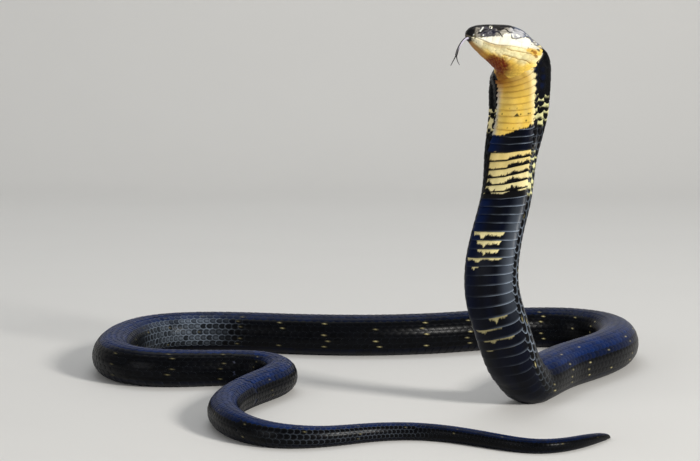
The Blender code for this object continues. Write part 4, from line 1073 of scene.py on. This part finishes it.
# Distance in cm of each place from a stroke's line, on the skin laid flat: the nearest of its
# straight lengths, each by the foot of the perpendicular or its nearer end.
def fromStroke(station, around, stroke):
    at, shares = (np.array(column) for column in zip(*stroke))
    mouth, girth = lookUp(gridMouth, at), lookUp(gridGirth, at)
    ways = np.where(shares < 1, shares * mouth, mouth + (shares - 1) * (0.5 - mouth)) * girth
    nearest = np.hypot(station - at[0], around - ways[0])
    for a, b, c, d in zip(at[:-1], ways[:-1], at[1:], ways[1:]):
        foot = ((station - a) * (c - a) + (around - b) * (d - b)) / ((c - a) ** 2 + (d - b) ** 2)
        share = np.clip(foot, 0, 1)
        nearest = np.minimum(nearest, np.hypot(station - a - share * (c - a), around - b - share * (d - b)))
    return nearest


# Tint of the jaw and throat by station and q: pale at the front, tan under the lip as painted shadow of the
# upper lip, a pale yellow patch at the cheek as painted highlight, golden and orange below with the orange
# partly painted shade, and red across the throat, partly painted shadow.
def jawTint(s, q, left):
    p, onLeft = headPaint, left > 0
    # painted shadow of the upper lip: tan along the jaw below the mouth
    jaw = mix("jawPale", "lipShadowTan", within(s, *p["shade"]) * (1 - smoothStep(q, 1.06, 1.22)))
    jaw = mix(jaw, "lip", 0.5 * (1 - smoothStep(s, *p["chin"])) * (1 - smoothStep(q, 1.3, 1.6)))
    golden = smoothStep(q + 0.06 * wander(s * 2, q * 5, 3), 1.26, 1.58) * smoothStep(s, *p["gold"])
    golden = np.maximum(golden, smoothStep(q, 1.05, 1.3) * smoothStep(s, *p["cheekGold"]))
    jaw = mix(jaw, "yellow", golden)
    # partly painted shade: orange along the jaw's lower edge
    orange = smoothStep(q, 1.42, 1.75)
    jaw = mix(jaw, "throatOrange", 0.85 * orange * (1 - smoothStep(s, *p["orange"]) * onLeft))
    # painted highlight: a pale patch at the corner of the jaw
    jaw = mix(jaw, "paleYellow", 0.8 * within(s, *p["corner"]) * bump(q, 1.2, 0.12))
    # partly painted shadow: red across the throat under the chin
    redFrom = np.where(onLeft, easeBetween(s, p["redFrom"]), p["redRight"])
    red = smoothStep(q + 0.06 * wander(s * 4, q * 12, 8), redFrom - 0.1, redFrom + 0.2)
    red = red * within(s, p["redStarts"], np.where(onLeft, *p["redEnds"]), 0.5)
    red = red * (1 - 0.5 * smoothStep(s, *p["redPales"]))
    red = red * (0.94 + 0.28 * wander(s * 2 + q * 9, q * 34 - s * 4, 4))
    return mix(jaw, "throatRedAndShadow", np.clip(red, 0, 1))


# Tint of the head by station and q, with each plate a little its own shade.
def headTint(s, q, around, left, which, border):
    p = headPaint
    ragged = 0.02 * wander(s * 5, 2, left) + 0.012 * wander(s * 13, 5, left)
    crownTo, whiteFrom = (easeBetween(s, p[name]) + ragged for name in ("crownTo", "whiteFrom"))
    crown = 1 - smoothStep(q, crownTo - 0.02, crownTo + 0.02)
    white = smoothStep(q, whiteFrom - 0.03, whiteFrom + 0.02)
    face = [(at, *palette[name]) for at, name in p["face"]]
    face = np.stack([between(s, face, k) for k in (1, 2, 3)], -1)
    face = face * (1 + 0.25 * wander(s * 4, q * 16 + 3 * left, 7))[..., None]
    lip = mix("lip", "paleYellow", 0.35 * smoothStep(q, 0.88, 1.0) * smoothStep(s, 1.5, 4))
    dark = mix("suture", "plateBrown", 0.5 + 0.5 * wander(s * 3, q * 8, 9))
    dark = mix(dark, "blueGrey", within(s, 4.9, 6.9, 0.3) * smoothStep(q, 0.22, 0.36))
    tint = mix(mix(face, lip, white), dark, crown)
    suture = 1 - smoothStep(border, 0.01, 0.06)
    tint = mix(tint, "suture", suture * (0.45 - 0.36 * white))
    tint = mix(tint, mix(jawTint(s, q, left), "foldBrown", 0.18 * suture), smoothStep(q, 0.995, 1.005))
    # the marks, then the folds drawn brown along their grooves as painted shade in the creases
    for colour, half, stroke in p["marks"] + [("foldBrown", 0.045, fold) for fold in p["folds"]]:
        wobble = 1 + 0.25 * wander(s * 9, around * 9, len(stroke))
        away = fromStroke(s, around, stroke) / (half * wobble)
        tint = mix(tint, colour, 0.92 * (1 - smoothStep(away, 0.6, 1.25)))
    specks = (scatter(np.floor(s * 9), np.floor(q * 24), left) > 0.96) * (s > 0.8) * (s < 6.0)
    specks = specks * smoothStep(q, 1.02, 1.1)
    shade = 1 + 0.07 * scatter(which, left * 2, 5) + 0.1 * wander(s * 2.2, q * 6 + 9 * left, 6)
    return mix(tint, "olive", 0.5 * specks) * shade[..., None]


# The head and throat as one tube: the grid's outline, lowered by the grooves between the plates
# and raised or sunk by humps about the mouth, nostrils, eyes and folds.
def makeHeadPlates():
    p = headPlates
    snout = p["snout"] * (np.arange(1, p["snoutRows"] + 1) / (p["snoutRows"] + 1)) ** 2
    rows = np.concatenate([snout, np.linspace(p["snout"], p["ends"], p["rows"] - p["snoutRows"])])
    turn = np.arange(p["columns"]) / p["columns"]
    s, t = np.meshgrid(rows, turn, indexing="ij")
    side, left = np.minimum(t, 1 - t), np.where(t < 0.5, 1.0, -1.0)
    mouth, girth = lookUp(gridMouth, s), lookUp(gridGirth, s)
    q = np.where(side < mouth, side / mouth, 1 + (side - mouth) / (0.5 - mouth))
    around, fromMouth, onTop = side * girth, (side - mouth) * girth, q < 1
    skinPoint = onSkin(s, t, 0 * s)
    dEye, dNostril = (
        np.minimum(*[np.linalg.norm(skinPoint - onHead(name, sign), axis=-1) for sign in (1, -1)])
        for name in ("eye", "nostril")
    )

    # plates with grooves between them, swelling towards their middles
    low = p["low"] + throatLattice()
    topWhich, topBorder = plateAt(s, left * q * p["across"], p["top"], p["across"])
    lowWhich, lowBorder = plateAt(s, left * (2 - q) * p["below"], low, p["below"])
    which = np.where(onTop, topWhich, len(p["top"]) + lowWhich)
    border = np.where(onTop, topBorder, lowBorder)
    kinds = np.array([str(row[-1]) for row in p["top"] + low])[which]
    isNape, isSoft = kinds == "nape", kinds == "throat"
    share = np.where(isNape, 0.2, np.where(isSoft, 0.8, np.where(onTop, 1.0, 0.6)))
    relief = -p["groove"] * share * smoothStep(s, 0.05, 0.3) * (1 - smoothStep(border, 0, p["grooveWide"]))
    relief += p["swell"] * smoothStep(border, 0.05, 0.3) * ~isNape

    # lips, nostrils, eye sockets and folds
    openMouth = 1 - smoothStep(s, *p["mouthEnds"])
    relief += p["lip"] * openMouth * bump(np.abs(fromMouth), *p["lipAt"])
    relief -= p["mouthDeep"] * openMouth * bump(fromMouth, 0, p["mouthWide"])
    relief -= p["nostrilDeep"] * bump(dNostril, 0, 0.1)
    radius = course["eye"]["radius"]
    socket = dEye < radius
    relief += p["brow"] * bump(dEye - radius, *p["browAt"])
    relief = np.where(socket, relief - p["socketDeep"] * np.sqrt(np.clip(1 - dEye / radius, 0, 1)), relief)
    for fold in headPaint["folds"]:
        away = fromStroke(s, around, fold)
        relief += p["fold"][0] * bump(away, *p["rollAt"]) - p["fold"][1] * bump(away, *p["grooveAt"])

    # under the first scales of the nape and hood the surface sinks to the depth of the skin
    pastHead = s - flankFrom(side, left)
    height = (p["base"] + relief) * smoothStep(s, 0.0, 0.12)
    height = height - p["endSinks"] * smoothStep(s, p["ends"] - 0.12, p["ends"])
    height = height - (p["napeSinks"] + np.maximum(relief, 0)) * smoothStep(pastHead, 0.1, 0.7)
    points = onSkin(s, t, height)

    tint = mix(headTint(s, q, around, left, which, border), "black", smoothStep(pastHead, -0.05, 0.1))
    tipDark = 1 - smoothStep(s + 0.1 * wander(q * 9, 1, left), 0.36, 0.62)
    tint = mix(tint, "suture", tipDark * np.where(q > 0.99, 0.75, 0.97))
    # painted shade: the nostril's hollow darkened
    tint = mix(tint, "suture", 0.95 * bump(dNostril, 0, 0.14))
    # painted shade along the mouth line, under the upper lip's edge, over the mouth's pink
    tint = mix(tint, palette["mouthPinkInShade"] * 0.5, 0.6 * openMouth * bump(fromMouth, 0, p["mouthWide"] * 0.7))
    tint = mix(tint, "suture", 0.9 * np.clip(bump(dEye, radius + 0.02, 0.07) + socket, 0, 1))
    ends = [place(0.0, 0.0, 0.0), points[-1].mean(0)]
    uv = tubeUv(rows / p["ends"] * bodyLength, turn, lanes=1)
    made = tubePiece("headPlates", points, ends, tint, uv, materials["plateGloss"])
    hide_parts("head", "lower_jaw")


makeHeadPlates()

eyes = {
    "radius": 0.335, "rings": 40, "sides": 56, "pupil": 17.0, "iris": 49.0, "bulge": 0.03,
    "looks": (0.93, 0.25, 0.2),  # shares outwards, forward and up
}


# An eye as a ball of rings about the way it looks, its pupil and iris by angle from that way. The
# clear scale bulges a little over the pupil.
def makeEye(name, sign, node):
    middle, (outwards, forward, upwards) = onHead("eye", sign), eyes["looks"]
    _, along, back, left = (way[0] for way in frameAt(np.array([course["eye"]["station"]])))
    ahead = unit(sign * left * outwards - forward * along + upwards * back)
    up = unit(back - (back @ ahead) * ahead)
    angle = np.linspace(0, math.pi, eyes["rings"] + 2)[1:-1][:, None]
    spin = (np.arange(eyes["sides"]) / eyes["sides"] * 2 * math.pi)[None, :]
    away = np.degrees(angle) + 0 * spin
    radius = eyes["radius"] * (1 + eyes["bulge"] * bump(away, 0, 40))
    points = middle + radius[..., None] * (
        np.cos(angle)[..., None] * ahead
        + (np.sin(angle) * np.cos(spin))[..., None] * up
        + (np.sin(angle) * np.sin(spin))[..., None] * np.cross(ahead, up)
    )
    rays = 0.5 + 0.5 * wander(spin * 9 + 0 * angle, away * 0.12, 3)
    iris = mix("irisDark", "irisPale", rays * bump(away, 32, 14))
    # painted shade: the iris greyed on its lower side, leaving a pale crescent above as painted highlight
    iris = mix(iris, "faceGrey", 0.7 * smoothStep(-np.cos(spin) + 0 * away, 0.2, 0.9))
    tint = mix(iris, palette["suture"] * 0.5, smoothStep(away, eyes["iris"] - 3, eyes["iris"] + 3))
    pupil = np.full(3, 0.002)
    tint = mix(tint, pupil, 1 - smoothStep(away, eyes["pupil"] - 1.5, eyes["pupil"] + 1.5))
    ends = [middle + ahead * eyes["radius"] * (1 + eyes["bulge"]), middle - ahead * eyes["radius"]]
    uv = np.stack([0.5 + away / 400 * np.cos(spin), 0.5 + away / 400 * np.sin(spin)], -1).reshape(-1, 2)
    loops = np.concatenate([f.ravel() for f in tubeFaces(eyes["rings"], eyes["sides"])])
    uv = np.concatenate([uv, [[0.5, 0.5], [0.98, 0.5]]])[loops]
    made = tubePiece(name, points, ends, tint, uv, materials["wetEye"], [pupil, palette["suture"]])
    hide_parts(node)


makeEye("eyeBallLeft", 1, "eye_left")
makeEye("eyeBallRight", -1, "eye_right")

tongueForm = {
    "stem": [
        (-6.75, -3.38, 45.42), (-7.35, -3.7, 45.58), (-8, -4.08, 45.5), (-8.55, -4.47, 44.98),
        (-8.93, -4.8, 44.3), (-9.2, -5.1, 43.5),
    ],
    "tines": [
        [(-9.1, -5, 43.8), (-9.32, -5.2, 43.3), (-9.6, -5.35, 42.8), (-9.86, -5.5, 42.3)],
        [(-9.1, -5, 43.8), (-9.12, -4.98, 43.3), (-8.98, -4.8, 42.8), (-8.76, -4.6, 42.38)],
    ],
    "stemWide": (0.26, 0.17), "stemThick": (0.17, 0.105),
    "tineWide": (0.1, 0.035), "tineThick": (0.062, 0.026),
    "twist": (20.0, 68.0), "sides": 20, "groove": 0.3, "tip": 0.4,
}


# A flattened tube along a smooth line, narrowing and twisting to its end, grooved on its upper face.
# Gives its rings, the share of its length, the way across, and how far each corner faces up and out.
def tongueTube(line, wide, thick, twist):
    points = naturalSpline(line, perSpan=10)
    share = np.linspace(0, 1, len(points))[:, None]
    along = unit(np.gradient(points, axis=0))
    left = frameAt(np.array([1.0]))[3]
    level = unit(left - (along * left).sum(-1, keepdims=True) * along)
    turned = np.radians(twist[0] + (twist[1] - twist[0]) * smoothStep(share, 0.45, 1.0))
    sideways = level * np.cos(turned) + np.cross(along, level) * np.sin(turned)
    angle = (np.arange(tongueForm["sides"]) / tongueForm["sides"] * 2 * math.pi)[None, :]
    width, depth = (size[0] + (size[1] - size[0]) * share for size in (wide, thick))
    depth = depth * (1 - tongueForm["groove"] * bump(np.cos(angle), 0, 0.25) * (np.sin(angle) > 0))
    rings = points[:, None] + (width * np.cos(angle))[..., None] * sideways[:, None]
    rings = rings + (depth * np.sin(angle))[..., None] * np.cross(along, sideways)[:, None]
    out = unit(rings - points[:, None])
    return rings, share + 0 * angle, np.cos(angle) + 0 * share, -0.86 * out[..., 0] + 0.5 * out[..., 2]


# The stem and two tines as one piece: pale violet on the side of the stem that faces down and to the right, a
# painted highlight over the tongue's own tone, dark on the upper and outer side and to the tips.
def makeTongue():
    form = tongueForm
    lengths = [(form["stem"], form["stemWide"], form["stemThick"], form["twist"])]
    lengths += [(line, form["tineWide"], form["tineThick"], form["twist"][1:] * 2) for line in form["tines"]]
    corners, tints, uvs, faces = [], [], [], []
    for number, (line, wide, thick, twist) in enumerate(lengths):
        rings, share, edge, top = tongueTube(line, wide, thick, twist)
        # painted highlight: the stem pale on its side that faces down and right
        pale = (1 - smoothStep(top, -0.2, 0.15)) * (number == 0) * (1 - smoothStep(share, 0.62, 0.9))
        tint = mix("tongueVioletAndHighlight", "tongueInk", 1 - pale).reshape(-1, 3)
        tip = rings[-1].mean(0) + (rings[-1].mean(0) - rings[-2].mean(0)) * form["tip"]
        faces.append([f + sum(map(len, corners)) for f in tubeFaces(*rings.shape[:2])])
        corners += [rings.reshape(-1, 3), [rings[0].mean(0), tip]]
        tints += [tint, tint[:1], tint[-1:]]
        uvs.append(np.stack([share * 0.9 + 0.05, (number + 0.5 + 0.45 * edge) / 3], -1).reshape(-1, 2))
        uvs.append([[0.02, (number + 0.5) / 3], [0.98, (number + 0.5) / 3]])
    faces = [np.concatenate(kind) for kind in zip(*faces)]
    uv = np.concatenate(uvs)[np.concatenate([f.ravel() for f in faces])]
    corners, tints = np.concatenate(corners), np.concatenate(tints)
    made = makePiece("forkedTongue", corners, faces, tints, uv, materials["moistTongue"], sharp=0)
    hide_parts("tongue")


makeTongue()

studio = {
    "paper": (0.8, 0.79, 0.765), "near": -6.0, "bendFrom": 2.6, "bendRadius": 1.6, "high": 5.0, "half": 7.0,
    "lens": 102.857, "sensor": 36, "tiltDown": 6.574, "camera": (-21.875, -244.928, 50.102),
    "sky": (0.97, 0.98, 1.0), "skyPower": 0.25,
    # where each light stands, where it shines, size, power and colour
    "lights": {
        "keyLight": ((3.4, -3.2, 2.3), (0.05, 0, 0.2), (0.9, 0.9), 228, (1.0, 0.975, 0.93)),
        "fillLight": ((-3.2, -2.6, 1.5), (-0.1, 0.1, 0.2), (2.0, 2.0), 26, (1.0, 1.0, 1.0)),
        "topLight": ((-0.3, 1.6, 3.6), (0, 0.3, 0), (3.0, 2.0), 32, (0.92, 0.96, 1.0)),
    },
}


# Pale floor that curves up into a backdrop: one profile, flat, quarter circle, wall, swept across.
def makeStage():
    turn = np.linspace(0, math.pi / 2, 33)
    arcY = studio["bendFrom"] + studio["bendRadius"] * np.sin(turn)
    arcZ = studio["bendRadius"] * (1 - np.cos(turn))
    y = np.concatenate([[studio["near"]], arcY, [arcY[-1]]])
    z = np.concatenate([[0.0], arcZ, [studio["high"]]])
    x = np.array([-studio["half"], studio["half"]])
    corners = np.stack([np.tile(x, len(y)), np.repeat(y, 2), np.repeat(z, 2)], -1)
    i = np.arange(len(y) - 1) * 2
    faces = np.stack([i, i + 1, i + 3, i + 2], -1)
    mesh = bpy.data.meshes.new("paperFloor")
    mesh.from_pydata(corners.tolist(), [], faces.tolist())
    mesh.polygons.foreach_set("use_smooth", np.ones(len(faces), bool))
    paper = bpy.data.materials.new("palePaper")
    paper.use_nodes = True
    tree = paper.node_tree
    where = addNode(tree, "TexCoord").outputs["Object"]
    cloud = addNode(tree, "TexNoise", {"Vector": where, "Scale": 3.0}).outputs["Fac"]
    dark, pale = ([c * factor for c in studio["paper"]] for factor in (0.985, 1.015))
    shade = addNode(tree, "MapRange", {"Vector": cloud, 9: dark, 10: pale}, data_type="FLOAT_VECTOR")
    looks = {"Base Color": shade.outputs["Vector"], "Roughness": 0.85}
    fillInputs(tree, tree.nodes["Principled BSDF"], looks)
    mesh.materials.append(paper)
    made = addObject("paperFloor", mesh)


# A square or oblong light that faces the place it shines on.
def areaLight(name, at, towards, size, power, colour):
    lamp = bpy.data.lights.new(name, "AREA")
    lamp.shape = "RECTANGLE"
    lamp.size, lamp.size_y = size
    lamp.energy = power
    lamp.color = colour
    made = addObject(name, lamp)
    made.location = at
    direction = np.array(towards, float) - np.array(at, float)
    yaw = math.atan2(-direction[0], direction[1])
    pitch = math.acos(-direction[2] / np.linalg.norm(direction))
    made.rotation_euler = (pitch, 0, yaw)


# Floor, lights, soft sky and the camera at the photograph's viewing angle.
def makeStudio():
    makeStage()
    for name, light in studio["lights"].items():
        areaLight(name, *light)
    world = bpy.data.worlds.new("softWorld")
    world.use_nodes = True
    world.node_tree.nodes["Background"].inputs["Color"].default_value = (*studio["sky"], 1)
    world.node_tree.nodes["Background"].inputs["Strength"].default_value = studio["skyPower"]
    bpy.context.scene.world = world
    bpy.context.scene.view_settings.view_transform = "Standard"
    lens = bpy.data.cameras.new("camera")
    lens.lens = studio["lens"]
    lens.sensor_width = studio["sensor"]
    lens.clip_end = 50
    camera = addObject("camera", lens)
    camera.location = (np.array(studio["camera"]) + toPart) * cm
    camera.rotation_euler = (math.radians(90 - studio["tiltDown"]), 0, 0)
    bpy.context.scene.camera = camera
    print(f"studio: {len(studio['lights'])} lights, floor and camera")


makeStudio()
